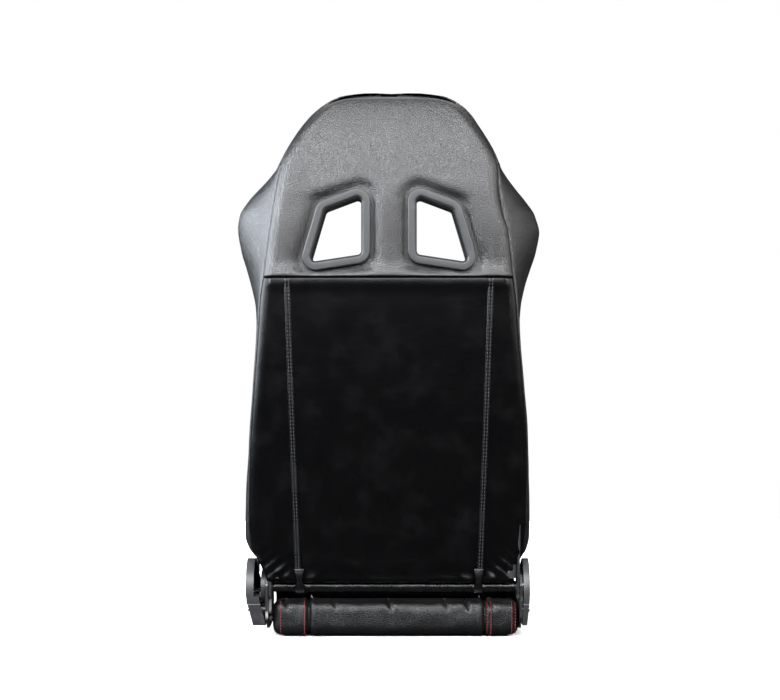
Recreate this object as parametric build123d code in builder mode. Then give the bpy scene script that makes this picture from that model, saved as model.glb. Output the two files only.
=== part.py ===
"""Reclining racing seat: a steel base frame with its cushion, and a hinged high backrest with two harness slots.

Frame: +Z up, +Y towards the back of the seat, +X towards the recline lever. The origin is the centre of the four
slider bolts, in the plane that the base rails stand on. Millimetres throughout.
"""
import os
from math import atan2, cos, degrees, hypot, pi, radians, sin
from typing import NamedTuple

from build123d import *

os.makedirs("parts", exist_ok=True)

# ---------------------------------------------------------------- driving dimensions
SEAT_HEIGHT = 925.0  # floor to the top of the head panel
BASE_WIDTH = 420.0  # across the base cushion at the back
CUSHION_FRONT = -250.0  # y of the cushion's nose
CUSHION_BACK = 155.0  # y of the cushion's rear face, in front of the backrest
PIVOT_Y = 237.0
PIVOT_Z = 86.0
BACK_OFFSET = 11.0  # the backrest's centre line lies this far towards the lever

COVER = 3.0  # upholstery: vinyl on its scrim foam
FIT = 0.05  # running clearance on a radius
GAP = 0.5  # clearance round something that sits in foam
PLATE = 4.0  # recliner plates
PLATE_GAP = 1.0  # between a turning plate and a fixed one
SIDE_CLEARANCE = 2.0  # cushion to the nearest recliner plate

TUBE_R = 11.0  # main frame tubes
TUBE_WALL = 1.6
BAR_R = 9.0  # lower cross bar, on the pivot axis
BAR_BORE = 7.0
WRAP_R = 11.5  # vinyl hem rolled round the bar
WIRE_R = 1.9  # sinuous spring wire

RAIL_WIDTH = 28.0
RAIL_HEIGHT = 45.0
RAIL_WALL = 3.0
RAIL_INSET = 18.0  # rail's outer web to the cushion's outer side
SLIDER_SPACING_X = 350.0
SLIDER_SPACING_Y = 290.0
THREAD_R = 3.4  # M8 tapped hole

HALF = BASE_WIDTH / 2
RAIL_OUT = HALF - RAIL_INSET
RAIL_IN = RAIL_OUT - RAIL_WIDTH
BAY_HALF = RAIL_OUT + 2.0
BAY_TOP = RAIL_HEIGHT + 5.0
ARM_IN_LEFT = HALF + SIDE_CLEARANCE  # inner faces of the two arms that turn
ARM_IN_RIGHT = -(HALF - 3.0)
FIXED_IN_LEFT = ARM_IN_LEFT + PLATE + PLATE_GAP
FIXED_IN_RIGHT = ARM_IN_RIGHT - PLATE - PLATE_GAP
BACK_LENGTH = SEAT_HEIGHT - PIVOT_Z
FORWARD = (0, -1, 0)
ACROSS = (1, 0, 0)


def put(builder, name):
    """Labels a finished piece and writes it."""
    piece = builder.part
    piece.label = name
    export_step(piece, f"parts/{name}.step")
    return piece


def side_plane(x):
    """A plane whose local x and y are the seat's y and z, and whose normal is +X."""
    return Plane(origin=(x, 0, 0), x_dir=(0, 1, 0), z_dir=(1, 0, 0))


def back_view(y):
    """A plane whose local x and y are the seat's x and z, and whose normal is -Y."""
    return Plane(origin=(0, y, 0), x_dir=(1, 0, 0), z_dir=(0, -1, 0))


def half_space(x0=-900, x1=900, y0=-900, y1=900, z0=-900, z1=1900):
    """A big box between the given limits, to keep or remove what lies in it."""
    middle = ((x0 + x1) / 2, (y0 + y1) / 2, (z0 + z1) / 2)
    return Pos(*middle) * Box(x1 - x0, y1 - y0, z1 - z0, mode=Mode.PRIVATE)


# ---------------------------------------------------------------- the backrest's form
class Station(NamedTuple):
    """One level of the backrest. Widths are measured from its centre line and depths from the pivot, +y to the back."""

    level: float  # height above the pivot, as a share of the backrest's length
    half: float  # widest half width, beyond the base's
    seam: float  # half width at the rear seam, beyond the base's
    rear: float
    front: float
    tip: float  # front of the bolster


STATIONS = [
    Station(0.038, 8, 0, 31, -47, -40),
    Station(0.076, 28, 22, 39, -49, -40),
    Station(0.136, 33, 26, 48, -45, -72),
    Station(0.207, 35, 26, 59, -38, -102),
    Station(0.291, 33, 23, 71, -28, -119),
    Station(0.374, 28, 18, 82, -12, -105),
    Station(0.520, 19, 11, 96, 8, -75),
    Station(0.627, 32, 1, 101, 19, -85),
    Station(0.720, 49, -10, 103, 24, -90),
    Station(0.791, 31, -18, 100, 24, -60),
    Station(0.839, -7, -26, 95, 18, -15),
    Station(0.911, -47, -52, 86, 8, 8),
    Station(0.970, -88, -95, 73, 12, 12),
    Station(1.000, -130, -138, 55, 30, 30),
]
CORE_HALF = HALF - 52.0  # half width between the bolsters
SEAM_LEVEL = 0.627  # the cross seam on the rear, and the bottom of the shoulder section
NECK_LEVEL = 0.821  # the bottom of the headrest
EDGE_DROP = 22.0  # how far the rear panel rolls forward to its side seam
BOLSTER_SLOPE = 30.0  # how far the bolster's inner wall leans out towards its front


def height(level):
    return PIVOT_Z + level * BACK_LENGTH


def back_outline(field, y, inset):
    """The backrest seen from behind, from one column of the table, drawn in by inset."""
    right = [(HALF + getattr(s, field), height(s.level)) for s in STATIONS]
    with BuildSketch(back_view(y), mode=Mode.PRIVATE) as outline:
        with BuildLine():
            Polyline(
                *[(BACK_OFFSET + x, z) for x, z in right],
                *[(BACK_OFFSET - x, z) for x, z in reversed(right)],
                close=True,
            )
        make_face()
        if inset:
            offset(amount=-inset, kind=Kind.INTERSECTION, mode=Mode.REPLACE)
    return outline.sketch


def back_profile(inset):
    """The backrest's side view, from the rear surface to the bolster's front, drawn in by inset."""
    with BuildSketch(side_plane(-400), mode=Mode.PRIVATE) as profile:
        with BuildLine():
            Polyline(
                *[(PIVOT_Y + s.rear, height(s.level)) for s in STATIONS],
                *[(PIVOT_Y + s.tip, height(s.level)) for s in reversed(STATIONS)],
                close=True,
            )
        make_face()
        if inset:
            offset(amount=-inset, kind=Kind.INTERSECTION, mode=Mode.REPLACE)
    return profile.sketch


def back_recess(grow):
    """The hollow between the bolsters, from the lower edge up to the headrest."""
    below = [s for s in STATIONS if s.level < NECK_LEVEL]
    with BuildPart(mode=Mode.PRIVATE) as hollow:
        with BuildSketch(side_plane(-400)):
            with BuildLine():
                Polyline(
                    (PIVOT_Y - 400, 0),
                    (PIVOT_Y + below[0].front + grow, 0),
                    *[(PIVOT_Y + s.front + grow, height(s.level)) for s in below],
                    (PIVOT_Y + below[-1].front + grow, height(NECK_LEVEL) + grow),
                    (PIVOT_Y - 400, height(NECK_LEVEL) + grow + 40),
                    close=True,
                )
            make_face()
        extrude(amount=800)
        with BuildSketch(Plane.XY):
            with BuildLine():
                rim = CORE_HALF + BOLSTER_SLOPE + grow
                floor = CORE_HALF + grow
                Polyline(
                    (BACK_OFFSET - floor, PIVOT_Y + 200),
                    (BACK_OFFSET - floor, PIVOT_Y + 30),
                    (BACK_OFFSET - rim, PIVOT_Y - 130),
                    (BACK_OFFSET - rim, PIVOT_Y - 500),
                    (BACK_OFFSET + rim, PIVOT_Y - 500),
                    (BACK_OFFSET + rim, PIVOT_Y - 130),
                    (BACK_OFFSET + floor, PIVOT_Y + 30),
                    (BACK_OFFSET + floor, PIVOT_Y + 200),
                    close=True,
                )
            make_face()
        extrude(amount=SEAT_HEIGHT + 100, mode=Mode.INTERSECT)
    return hollow.part


def back_form(inset):
    """The whole backrest as one solid, inset by the cover's thickness for the foam."""
    with BuildPart(mode=Mode.PRIVATE) as form:
        loft([back_outline("seam", PIVOT_Y + 110, inset), back_outline("half", PIVOT_Y - 20, inset)], ruled=True)
        extrude(back_outline("half", PIVOT_Y - 20, inset), amount=200, dir=FORWARD)
        extrude(back_profile(inset), amount=800, dir=ACROSS, mode=Mode.INTERSECT)
        add(back_recess(inset), mode=Mode.SUBTRACT)
    return form.part


# ---------------------------------------------------------------- harness slots
# outer edge of a bezel: half width, level
SLOT_OUTLINE = [(31, 0.813), (118, 0.774), (153, 0.634), (31, 0.656)]
BEZEL_BAND = 15.0
SLEEVE_WALL = 2.5
BEZEL_THICK = 5.0
SLOT_CORNER = 20.0
SHOULDER_LEVEL = 0.720
SLOT_REAR = PIVOT_Y + 103.0  # the plane that the rear bezels sit on
SLOT_FRONT = PIVOT_Y + 19.0
SLEEVE_JOINT = (SLOT_REAR + SLOT_FRONT) / 2


def slot_sketch(side, inward, y):
    """The slot's outline, drawn in from the bezel's outer edge by inward, on the plane at y."""
    with BuildSketch(back_view(y), mode=Mode.PRIVATE) as outline:
        with BuildLine():
            Polyline(*[(BACK_OFFSET + side * x, height(l)) for x, l in SLOT_OUTLINE], close=True)
        make_face()
        fillet(outline.vertices(), SLOT_CORNER)
        if inward:
            offset(amount=-inward, mode=Mode.REPLACE)
    return outline.sketch


def tunnel(side):
    """The hole through foam and covers that a bezel's sleeve goes in."""
    with BuildPart(mode=Mode.PRIVATE) as hole:
        extrude(slot_sketch(side, BEZEL_BAND - SLEEVE_WALL - GAP, SLOT_REAR + 60), amount=300, dir=FORWARD)
    return hole.part


TUNNELS = [tunnel(1), tunnel(-1)]

# ---------------------------------------------------------------- backrest frame
HOOP_LEFT = ARM_IN_LEFT - TUBE_R
HOOP_RIGHT = ARM_IN_RIGHT + TUBE_R
HOOP_FOOT = (PIVOT_Y + 20.0, PIVOT_Z + 18.0)
HOOP_TOP = (PIVOT_Y + 62.0, height(0.923))
HOOP_TURN = 0.720  # level where the legs turn in
HOOP_TOP_HALF = HALF - 90.0
HOOP_BEND = 60.0
HOOP_LEAN = degrees(atan2(HOOP_TOP[0] - HOOP_FOOT[0], HOOP_TOP[1] - HOOP_FOOT[1]))


def hoop_y(z):
    """The y of the hoop's plane at a height."""
    share = (z - HOOP_FOOT[1]) / (HOOP_TOP[1] - HOOP_FOOT[1])
    return HOOP_FOOT[0] + share * (HOOP_TOP[0] - HOOP_FOOT[0])


def on_hoop(x, z):
    return Vector(x, hoop_y(z), z)


with BuildLine() as hoop_path:
    FilletPolyline(
        on_hoop(HOOP_LEFT, HOOP_FOOT[1]),
        on_hoop(HOOP_LEFT, height(HOOP_TURN)),
        on_hoop(BACK_OFFSET + HOOP_TOP_HALF, HOOP_TOP[1]),
        on_hoop(BACK_OFFSET - HOOP_TOP_HALF, HOOP_TOP[1]),
        on_hoop(HOOP_RIGHT, height(HOOP_TURN)),
        on_hoop(HOOP_RIGHT, HOOP_FOOT[1]),
        radius=HOOP_BEND,
    )


def swept(path, radius, bore=0.0):
    """A round bar or tube along a path."""
    with BuildPart(mode=Mode.PRIVATE) as run:
        with BuildSketch(Plane(origin=path.line @ 0, z_dir=path.line % 0)):
            Circle(radius)
            if bore:
                Circle(bore, mode=Mode.SUBTRACT)
        sweep(path=path.line)
    return run.part


with BuildPart() as back_frame_hoop:
    add(swept(hoop_path, TUBE_R, TUBE_R - TUBE_WALL))
hoop_piece = put(back_frame_hoop, "back_frame_hoop")
hoop_room = swept(hoop_path, TUBE_R + GAP)

CROSSBAR_Z = height(0.609)
CROSSBAR_R = 8.0
with BuildPart() as back_frame_crossbar:
    with BuildSketch(side_plane(HOOP_RIGHT)):
        with Locations((hoop_y(CROSSBAR_Z), CROSSBAR_Z)):
            Circle(CROSSBAR_R)
    extrude(amount=HOOP_LEFT - HOOP_RIGHT)
    add(hoop_room, mode=Mode.SUBTRACT)
crossbar_piece = put(back_frame_crossbar, "back_frame_crossbar")

with BuildPart() as back_frame_lower_bar:
    with BuildSketch(side_plane(ARM_IN_RIGHT)):
        with Locations((PIVOT_Y, PIVOT_Z)):
            Circle(BAR_R)
            Circle(BAR_BORE, mode=Mode.SUBTRACT)
    extrude(amount=ARM_IN_LEFT - ARM_IN_RIGHT)
put(back_frame_lower_bar, "back_frame_lower_bar")

# ---------------------------------------------------------------- recliner: arms, fixed plates, pivots
SECTOR_R = 46.0
TOOTH = 3.0
TOOTH_ANGLE = 4.0
SECTOR_FROM, SECTOR_TO = 190.0, 286.0
HUB_R = 22.0
ARM_WIDTH = 36.0
ARM_TOP = height(0.130)
PAWL_ANGLE = 215.0  # where the pawl meets the sector, from +y towards +z
PAWL_REACH = 38.0
PAWL_CLEAR = 0.3
LEVER_AXIS = (PIVOT_Y - 65.0, PIVOT_Z - 28.0)
STUD_FLANGE_R = 12.0
STUD_DEPTH = 24.0  # how far the stud runs into the lower bar
ARM_LEAN_Y = hoop_y(ARM_TOP)


def polar(radius, angle, centre=(PIVOT_Y, PIVOT_Z)):
    return centre[0] + radius * cos(radians(angle)), centre[1] + radius * sin(radians(angle))


def tooth_points(start, stop, root, tip):
    """The zigzag of a toothed arc about the pivot."""
    points = []
    count = round((stop - start) / TOOTH_ANGLE)
    for i in range(count):
        angle = start + i * TOOTH_ANGLE
        points += [polar(root, angle)] + [polar(tip, angle + share * TOOTH_ANGLE) for share in (0.30, 0.55)]
    return points + [polar(root, start + count * TOOTH_ANGLE)]


def arm_blank(x):
    """An arm from the pivot up to the hoop's leg, as an open sketch plane at x."""
    with BuildSketch(side_plane(x), mode=Mode.PRIVATE) as blank:
        with Locations((PIVOT_Y, PIVOT_Z)):
            Circle(HUB_R)
        with BuildLine():
            Polyline(
                (PIVOT_Y - 16, PIVOT_Z),
                (PIVOT_Y + 24, PIVOT_Z),
                (ARM_LEAN_Y + ARM_WIDTH / 2, ARM_TOP),
                (ARM_LEAN_Y - ARM_WIDTH / 2, ARM_TOP),
                close=True,
            )
        make_face()
    return blank.sketch


with BuildPart() as recliner_sector:
    extrude(arm_blank(ARM_IN_LEFT), amount=PLATE, dir=ACROSS)
    with BuildSketch(side_plane(ARM_IN_LEFT)):
        with BuildLine():
            teeth = tooth_points(SECTOR_FROM, SECTOR_TO, SECTOR_R - TOOTH, SECTOR_R)
            Polyline((PIVOT_Y, PIVOT_Z), *teeth, close=True)
        make_face()
    extrude(amount=PLATE)
    with BuildSketch(side_plane(ARM_IN_LEFT)):
        with Locations((PIVOT_Y, PIVOT_Z)):
            Circle(BAR_BORE)
    extrude(amount=PLATE, mode=Mode.SUBTRACT)
put(recliner_sector, "recliner_sector_arm")

with BuildPart() as recliner_arm:
    extrude(arm_blank(ARM_IN_RIGHT - PLATE), amount=PLATE, dir=ACROSS)
    with BuildSketch(side_plane(ARM_IN_RIGHT - PLATE)):
        with Locations((PIVOT_Y, PIVOT_Z)):
            Circle(BAR_BORE)
    extrude(amount=PLATE, mode=Mode.SUBTRACT)
put(recliner_arm, "recliner_plain_arm")

PAWL_PIN_R = 4.0
LEVER_SHAFT_R = 5.0
RAIL_BOLT_R = 4.0
RAIL_BOLTS = [(PIVOT_Y - 122.0, 25.0), (PIVOT_Y - 66.0, 25.0)]
PAWL_AXIS = (
    polar(SECTOR_R, PAWL_ANGLE)[0] + PAWL_REACH * cos(radians(PAWL_ANGLE + 90)),
    polar(SECTOR_R, PAWL_ANGLE)[1] + PAWL_REACH * sin(radians(PAWL_ANGLE + 90)),
)
FIXED_OUTLINE = [
    (29, 5), (17, 24), (-5, 29), (-50, 9), (-135, -18),
    (-142, -40), (-142, -76), (-58, -76), (-16, -74), (24, -50),
]
SHIELD_BOSSES = [(PIVOT_Y - 100.0, PIVOT_Z - 22.0), (PIVOT_Y + 20.0, PIVOT_Z - 36.0)]


def fixed_plate(x, holes):
    with BuildPart(mode=Mode.PRIVATE) as plate:
        with BuildSketch(side_plane(x)) as face:
            with BuildLine():
                Polyline(*[(PIVOT_Y + y, PIVOT_Z + z) for y, z in FIXED_OUTLINE], close=True)
            make_face()
            fillet(face.vertices(), 8)
            for centre, radius in holes:
                with Locations(centre):
                    Circle(radius, mode=Mode.SUBTRACT)
        extrude(amount=PLATE)
    return plate


rail_holes = [(c, RAIL_BOLT_R + 0.25) for c in RAIL_BOLTS]
boss_holes = [(c, 2.0) for c in SHIELD_BOSSES]
pivot_hole = [((PIVOT_Y, PIVOT_Z), BAR_BORE)]
lever_holes = [(LEVER_AXIS, LEVER_SHAFT_R + FIT), (PAWL_AXIS, PAWL_PIN_R)]
put(fixed_plate(FIXED_IN_LEFT, rail_holes + boss_holes + pivot_hole + lever_holes), "recliner_base_plate_left")
put(fixed_plate(FIXED_IN_RIGHT - PLATE, rail_holes + boss_holes + pivot_hole), "recliner_base_plate_right")


def pivot_stud(outer_face, way):
    """A flanged journal through the fixed plate and the arm into the lower bar. way is outward along X."""
    depth = PLATE * 2 + PLATE_GAP + STUD_DEPTH
    low = outer_face if way > 0 else outer_face - PLATE
    with BuildPart(mode=Mode.PRIVATE) as stud:
        with BuildSketch(side_plane(low)):
            with Locations((PIVOT_Y, PIVOT_Z)):
                Circle(STUD_FLANGE_R)
        extrude(amount=PLATE)
        with BuildSketch(side_plane(outer_face)):
            with Locations((PIVOT_Y, PIVOT_Z)):
                Circle(BAR_BORE - FIT)
        extrude(amount=-way * depth)
        chamfer(stud.faces().sort_by(Axis.X)[-1 if way > 0 else 0].edges(), 1.0)
    return stud


put(pivot_stud(FIXED_IN_LEFT + PLATE, 1), "pivot_stud_left")
put(pivot_stud(FIXED_IN_RIGHT - PLATE, -1), "pivot_stud_right")

with BuildPart() as recliner_pawl:
    with BuildSketch(side_plane(ARM_IN_LEFT)):
        with Locations(PAWL_AXIS):
            Circle(8.0)
        near = [polar(SECTOR_R + PAWL_CLEAR, PAWL_ANGLE + turn) for turn in (9, 3, -3, -9)]
        with BuildLine():
            Polyline(
                *near,
                polar(SECTOR_R + 12, PAWL_ANGLE - 9),
                polar(8.0, PAWL_ANGLE, PAWL_AXIS),
                polar(8.0, PAWL_ANGLE + 150, PAWL_AXIS),
                close=True,
            )
        make_face()
        for step in (-6, -2, 2, 6):
            with Locations(polar(SECTOR_R + PAWL_CLEAR + 0.6, PAWL_ANGLE + step)):
                Rectangle(1.6, 2.2, rotation=PAWL_ANGLE + step, mode=Mode.SUBTRACT)
        with Locations((PIVOT_Y, PIVOT_Z)):
            Circle(SECTOR_R + PAWL_CLEAR, mode=Mode.SUBTRACT)
        with Locations(PAWL_AXIS):
            Circle(PAWL_PIN_R + FIT, mode=Mode.SUBTRACT)
    extrude(amount=PLATE)
put(recliner_pawl, "recliner_pawl")

with BuildPart() as pawl_pin:
    with BuildSketch(side_plane(ARM_IN_LEFT - 1.0)):
        with Locations(PAWL_AXIS):
            Circle(PAWL_PIN_R)
    extrude(amount=2 * PLATE + PLATE_GAP + 1.0)
    with BuildSketch(side_plane(FIXED_IN_LEFT + PLATE)):
        with Locations(PAWL_AXIS):
            Circle(PAWL_PIN_R + 2.0)
    extrude(amount=2.0)
put(pawl_pin, "pawl_pin")

# spiral spring that helps the backrest up: a flat strip wound round the left stud
SPRING_X = FIXED_IN_LEFT + PLATE + 1.0
SPRING_WIDTH = 7.0
SPRING_TURNS = 3.5
SPRING_IN, SPRING_OUT, STRIP = 13.5, 27.0, 1.4


def spiral(extra):
    steps = round(SPRING_TURNS * 8)
    return [
        polar(SPRING_IN + extra + (SPRING_OUT - SPRING_IN) * i / steps, 360 * SPRING_TURNS * i / steps)
        for i in range(steps + 1)
    ]


with BuildPart() as recline_spring:
    with BuildSketch(side_plane(SPRING_X)):
        with BuildLine():
            inner_edge = Spline(*spiral(0))
            outer_edge = Spline(*spiral(STRIP))
            Line(inner_edge @ 0, outer_edge @ 0)
            Line(inner_edge @ 1, outer_edge @ 1)
        make_face()
    extrude(amount=SPRING_WIDTH)
put(recline_spring, "recline_spring")

# bolts and spacers that hold the fixed plates on the base rails
BOLT_HEAD_R, BOLT_HEAD = 7.0, 5.0


def along_x(builder_plane_x, centres, radius, length, bore=0.0):
    """Round bars parallel to X, starting at one x."""
    with BuildPart(mode=Mode.PRIVATE) as bars:
        with BuildSketch(side_plane(builder_plane_x)):
            for c in centres:
                with Locations(c):
                    Circle(radius)
                    if bore:
                        Circle(bore, mode=Mode.SUBTRACT)
        extrude(amount=length)
    return bars.part


def hexes(x, centres, radius, length, bore=0.0):
    with BuildPart(mode=Mode.PRIVATE) as nuts:
        with BuildSketch(side_plane(x)):
            for c in centres:
                with Locations(c):
                    RegularPolygon(radius, 6)
                    if bore:
                        Circle(bore, mode=Mode.SUBTRACT)
        extrude(amount=length)
    return nuts.part


with BuildPart() as recliner_spacers:
    add(along_x(RAIL_OUT, RAIL_BOLTS, 8.0, FIXED_IN_LEFT - RAIL_OUT, RAIL_BOLT_R + 0.25))
    add(along_x(FIXED_IN_RIGHT, RAIL_BOLTS, 8.0, -RAIL_OUT - FIXED_IN_RIGHT, RAIL_BOLT_R + 0.25))
put(recliner_spacers, "recliner_spacers")

NUT = 6.5
BOLT_END = NUT + 2.0
with BuildPart() as recliner_bolts:
    left_length = FIXED_IN_LEFT + PLATE - (RAIL_OUT - RAIL_WALL) + BOLT_END
    add(along_x(RAIL_OUT - RAIL_WALL - BOLT_END, RAIL_BOLTS, RAIL_BOLT_R, left_length))
    add(hexes(FIXED_IN_LEFT + PLATE, RAIL_BOLTS, BOLT_HEAD_R, BOLT_HEAD))
    right_length = -RAIL_OUT + RAIL_WALL + BOLT_END - (FIXED_IN_RIGHT - PLATE)
    add(along_x(FIXED_IN_RIGHT - PLATE, RAIL_BOLTS, RAIL_BOLT_R, right_length))
    add(hexes(FIXED_IN_RIGHT - PLATE - BOLT_HEAD, RAIL_BOLTS, BOLT_HEAD_R, BOLT_HEAD))
put(recliner_bolts, "recliner_bolts")

with BuildPart() as recliner_nuts:
    add(hexes(RAIL_OUT - RAIL_WALL - NUT, RAIL_BOLTS, 7.5, NUT, RAIL_BOLT_R))
    add(hexes(-RAIL_OUT + RAIL_WALL, RAIL_BOLTS, 7.5, NUT, RAIL_BOLT_R))
put(recliner_nuts, "recliner_nuts")

# ---------------------------------------------------------------- recline lever
SHIELD_OUT = FIXED_IN_LEFT + 36.0  # outer face of the lever side's shield
LEVER_X = SHIELD_OUT + 3.0
LEVER_THICK = 4.0
GRIP_THICK = 11.0
LEVER_REACH = 200.0
LEVER_RISE = 30.0
LEVER_TIP = (LEVER_AXIS[0] - LEVER_REACH, LEVER_AXIS[1] + LEVER_RISE)
GRIP_START = (LEVER_AXIS[0] - 118.0, LEVER_AXIS[1] + LEVER_RISE - 3.0)


def lever_outline(points, widths):
    """A tapering strip along a few points, as a face built from its two edges."""
    upper, lower = [], []
    for i, (p, w) in enumerate(zip(points, widths)):
        a = points[max(i - 1, 0)]
        b = points[min(i + 1, len(points) - 1)]
        length = hypot(b[0] - a[0], b[1] - a[1])
        nx, ny = -(b[1] - a[1]) / length, (b[0] - a[0]) / length
        upper.append((p[0] + nx * w / 2, p[1] + ny * w / 2))
        lower.append((p[0] - nx * w / 2, p[1] - ny * w / 2))
    return upper + lower[::-1]


with BuildPart() as lever_arm:
    with BuildSketch(side_plane(LEVER_X)):
        with BuildLine():
            path = [LEVER_AXIS, (LEVER_AXIS[0] - 70, LEVER_AXIS[1] + 8), GRIP_START, LEVER_TIP]
            Polyline(*lever_outline(path, [26, 20, 14, 12]), close=True)
        make_face()
        with Locations(LEVER_AXIS):
            Circle(13.0)
    extrude(amount=LEVER_THICK)
    with BuildSketch(side_plane(ARM_IN_LEFT + PLATE + PLATE_GAP)):
        with Locations(LEVER_AXIS):
            Circle(LEVER_SHAFT_R)
    extrude(amount=LEVER_X - (ARM_IN_LEFT + PLATE + PLATE_GAP))
lever_piece = put(lever_arm, "lever_arm")

with BuildPart() as lever_grip:
    grip_x = LEVER_X + LEVER_THICK / 2 - GRIP_THICK / 2
    with BuildSketch(side_plane(grip_x)) as grip_face:
        with BuildLine():
            grip_path = [GRIP_START, LEVER_TIP, (LEVER_TIP[0] - 12, LEVER_TIP[1] + 1)]
            Polyline(*lever_outline(grip_path, [22, 30, 26]), close=True)
        make_face()
        fillet(grip_face.vertices(), 7)
    extrude(amount=GRIP_THICK)
    fillet(lever_grip.faces().filter_by(Axis.X).edges(), 3.0)
    add(lever_piece, mode=Mode.SUBTRACT)
put(lever_grip, "lever_grip")

LEVER_SPRING_X = FIXED_IN_LEFT + PLATE + 1.5
LEVER_SPRING_TURNS = 4
with BuildPart() as lever_spring:
    with BuildLine() as coil:
        Helix(pitch=3.2, height=3.2 * LEVER_SPRING_TURNS, radius=8.0, center=(LEVER_SPRING_X + 1.5, *LEVER_AXIS),
              direction=(1, 0, 0))
    with BuildSketch(Plane(origin=coil.line @ 0, z_dir=coil.line % 0)):
        Circle(1.1)
    sweep(path=coil.line, is_frenet=True)
put(lever_spring, "lever_return_spring")

# ---------------------------------------------------------------- plastic shields over the recliners
SHIELD_WALL = 2.5
SHIELD_DEPTH = 22.0
SHIELD_R = 48.0
SHIELD_LOW = PIVOT_Z - 65.0
SHIELD_NOSE = PIVOT_Y - 160.0
SHIELD_STEP = 17.0  # how far the lower part leans in
SHIELD_KNEE = PIVOT_Z - 9.0
SHIELD_SHELF = PIVOT_Z - 12.0  # above this the backrest's bolster swings past, so the shield is shallower
SHIELD_SHALLOW = 13.5


def shield_side(x, grow=0.0):
    """The shield's outline seen from the side, as a sketch at x."""
    with BuildSketch(side_plane(x), mode=Mode.PRIVATE) as view:
        with Locations((PIVOT_Y, PIVOT_Z)):
            Circle(SHIELD_R + grow)
        with BuildLine():
            Polyline(
                (PIVOT_Y - 14, PIVOT_Z + 46 + grow),
                (SHIELD_NOSE + 14 - grow, PIVOT_Z - 12 + grow),
                (SHIELD_NOSE - grow, PIVOT_Z - 26),
                (SHIELD_NOSE + 10 - grow, SHIELD_LOW - grow),
                (PIVOT_Y + 14, SHIELD_LOW - grow),
                (PIVOT_Y + 42 + grow, PIVOT_Z - 26),
                close=True,
            )
        make_face()
    return view.sketch


def shield_band(outer_x, inset, depth, step, back_step, y0, y1):
    """The cross section of a shield, run along Y: upright above the knee and drawn in below it."""
    way = 1 if outer_x > 0 else -1
    out = abs(outer_x) - inset
    back = abs(outer_x) - depth
    high_back = max(back, abs(outer_x) - SHIELD_SHALLOW - (depth if inset else 0.0))
    profile = [
        (out, SEAT_HEIGHT / 2),
        (out, SHIELD_KNEE),
        (out - step, SHIELD_LOW - 40),
        (back - back_step, SHIELD_LOW - 40),
        (back, SHIELD_SHELF),
    ]
    if high_back > back:
        profile.append((high_back, SHIELD_SHELF))
    profile.append((high_back, SEAT_HEIGHT / 2))
    with BuildPart(mode=Mode.PRIVATE) as band:
        with BuildSketch(back_view(y1)):
            with BuildLine():
                Polyline(*[(way * x, z) for x, z in profile], close=True)
            make_face()
        extrude(amount=y1 - y0)
    return band.part


def shield_solid(outer_x, depth, step, back_step, inset):
    """The shield's outer form, or with an inset the hollow inside it, which runs out past the open side."""
    start = 0.0 if outer_x > 0 else -400.0
    opening = 20.0 if inset else 0.0
    with BuildPart(mode=Mode.PRIVATE) as form:
        extrude(shield_side(start, -inset), amount=400, dir=ACROSS)
        add(shield_band(outer_x, inset, depth + opening, step, back_step, -100, 500), mode=Mode.INTERSECT)
    return form.part


def shield(outer_x, depth, step, back_step, holes, head_x):
    """A hollow shield, open towards the seat and notched round the bolt and pin heads, which start at head_x."""
    reach = BOLT_HEAD + 0.8
    with BuildPart(mode=Mode.PRIVATE) as cover:
        add(shield_solid(outer_x, depth, step, back_step, 0.0))
        add(shield_solid(outer_x, depth, step, back_step, SHIELD_WALL), mode=Mode.SUBTRACT)
        for centre, radius in holes:
            add(along_x(-400, [centre], radius, 800), mode=Mode.SUBTRACT)
        add(along_x(head_x - reach, RAIL_BOLTS, BOLT_HEAD_R + 1.0, 2 * reach), mode=Mode.SUBTRACT)
        add(along_x(head_x - reach, [PAWL_AXIS], PAWL_PIN_R + 3.0, 2 * reach), mode=Mode.SUBTRACT)
    return cover


screw_holes = [(c, 2.3) for c in SHIELD_BOSSES]
shaft_hole = [(LEVER_AXIS, LEVER_SHAFT_R + 1.0)]
left_holes = shaft_hole + screw_holes
shield_left = shield(SHIELD_OUT, SHIELD_DEPTH, SHIELD_STEP, SHIELD_STEP, left_holes, FIXED_IN_LEFT + PLATE)
put(shield_left, "recliner_shield_left")
SHIELD_OUT_RIGHT = FIXED_IN_RIGHT - PLATE - 11.0
SHIELD_STEP_RIGHT = 4.0
SHIELD_DEPTH_RIGHT = 10.5
shield_right = shield(SHIELD_OUT_RIGHT, SHIELD_DEPTH_RIGHT, SHIELD_STEP_RIGHT, 0.0, screw_holes, FIXED_IN_RIGHT - PLATE)
put(shield_right, "recliner_shield_right")


def shield_face(outer_x, z, step=SHIELD_STEP):
    """Outer face of a leaning shield at a height."""
    lean = step * max(0.0, SHIELD_KNEE - z) / (SHIELD_KNEE - SHIELD_LOW + 40)
    return (abs(outer_x) - lean) * (1 if outer_x > 0 else -1)


with BuildPart() as shield_posts:
    for c in SHIELD_BOSSES:
        low = FIXED_IN_LEFT + PLATE
        reach = shield_face(SHIELD_OUT, c[1]) - SHIELD_WALL - low - 2.5
        add(along_x(low, [c], 5.0, reach, 2.0))
put(shield_posts, "shield_posts")

with BuildPart() as shield_screws:
    for c in SHIELD_BOSSES:
        face = shield_face(SHIELD_OUT, c[1]) + 1.6
        add(along_x(face - 22, [c], 1.9, 22))
        add(along_x(face, [c], 4.2, 2.0))
        face = shield_face(SHIELD_OUT_RIGHT, c[1], SHIELD_STEP_RIGHT) - 0.5
        add(along_x(face, [c], 1.9, 14))
        add(along_x(face - 2.0, [c], 4.2, 2.0))
put(shield_screws, "shield_screws")

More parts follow.
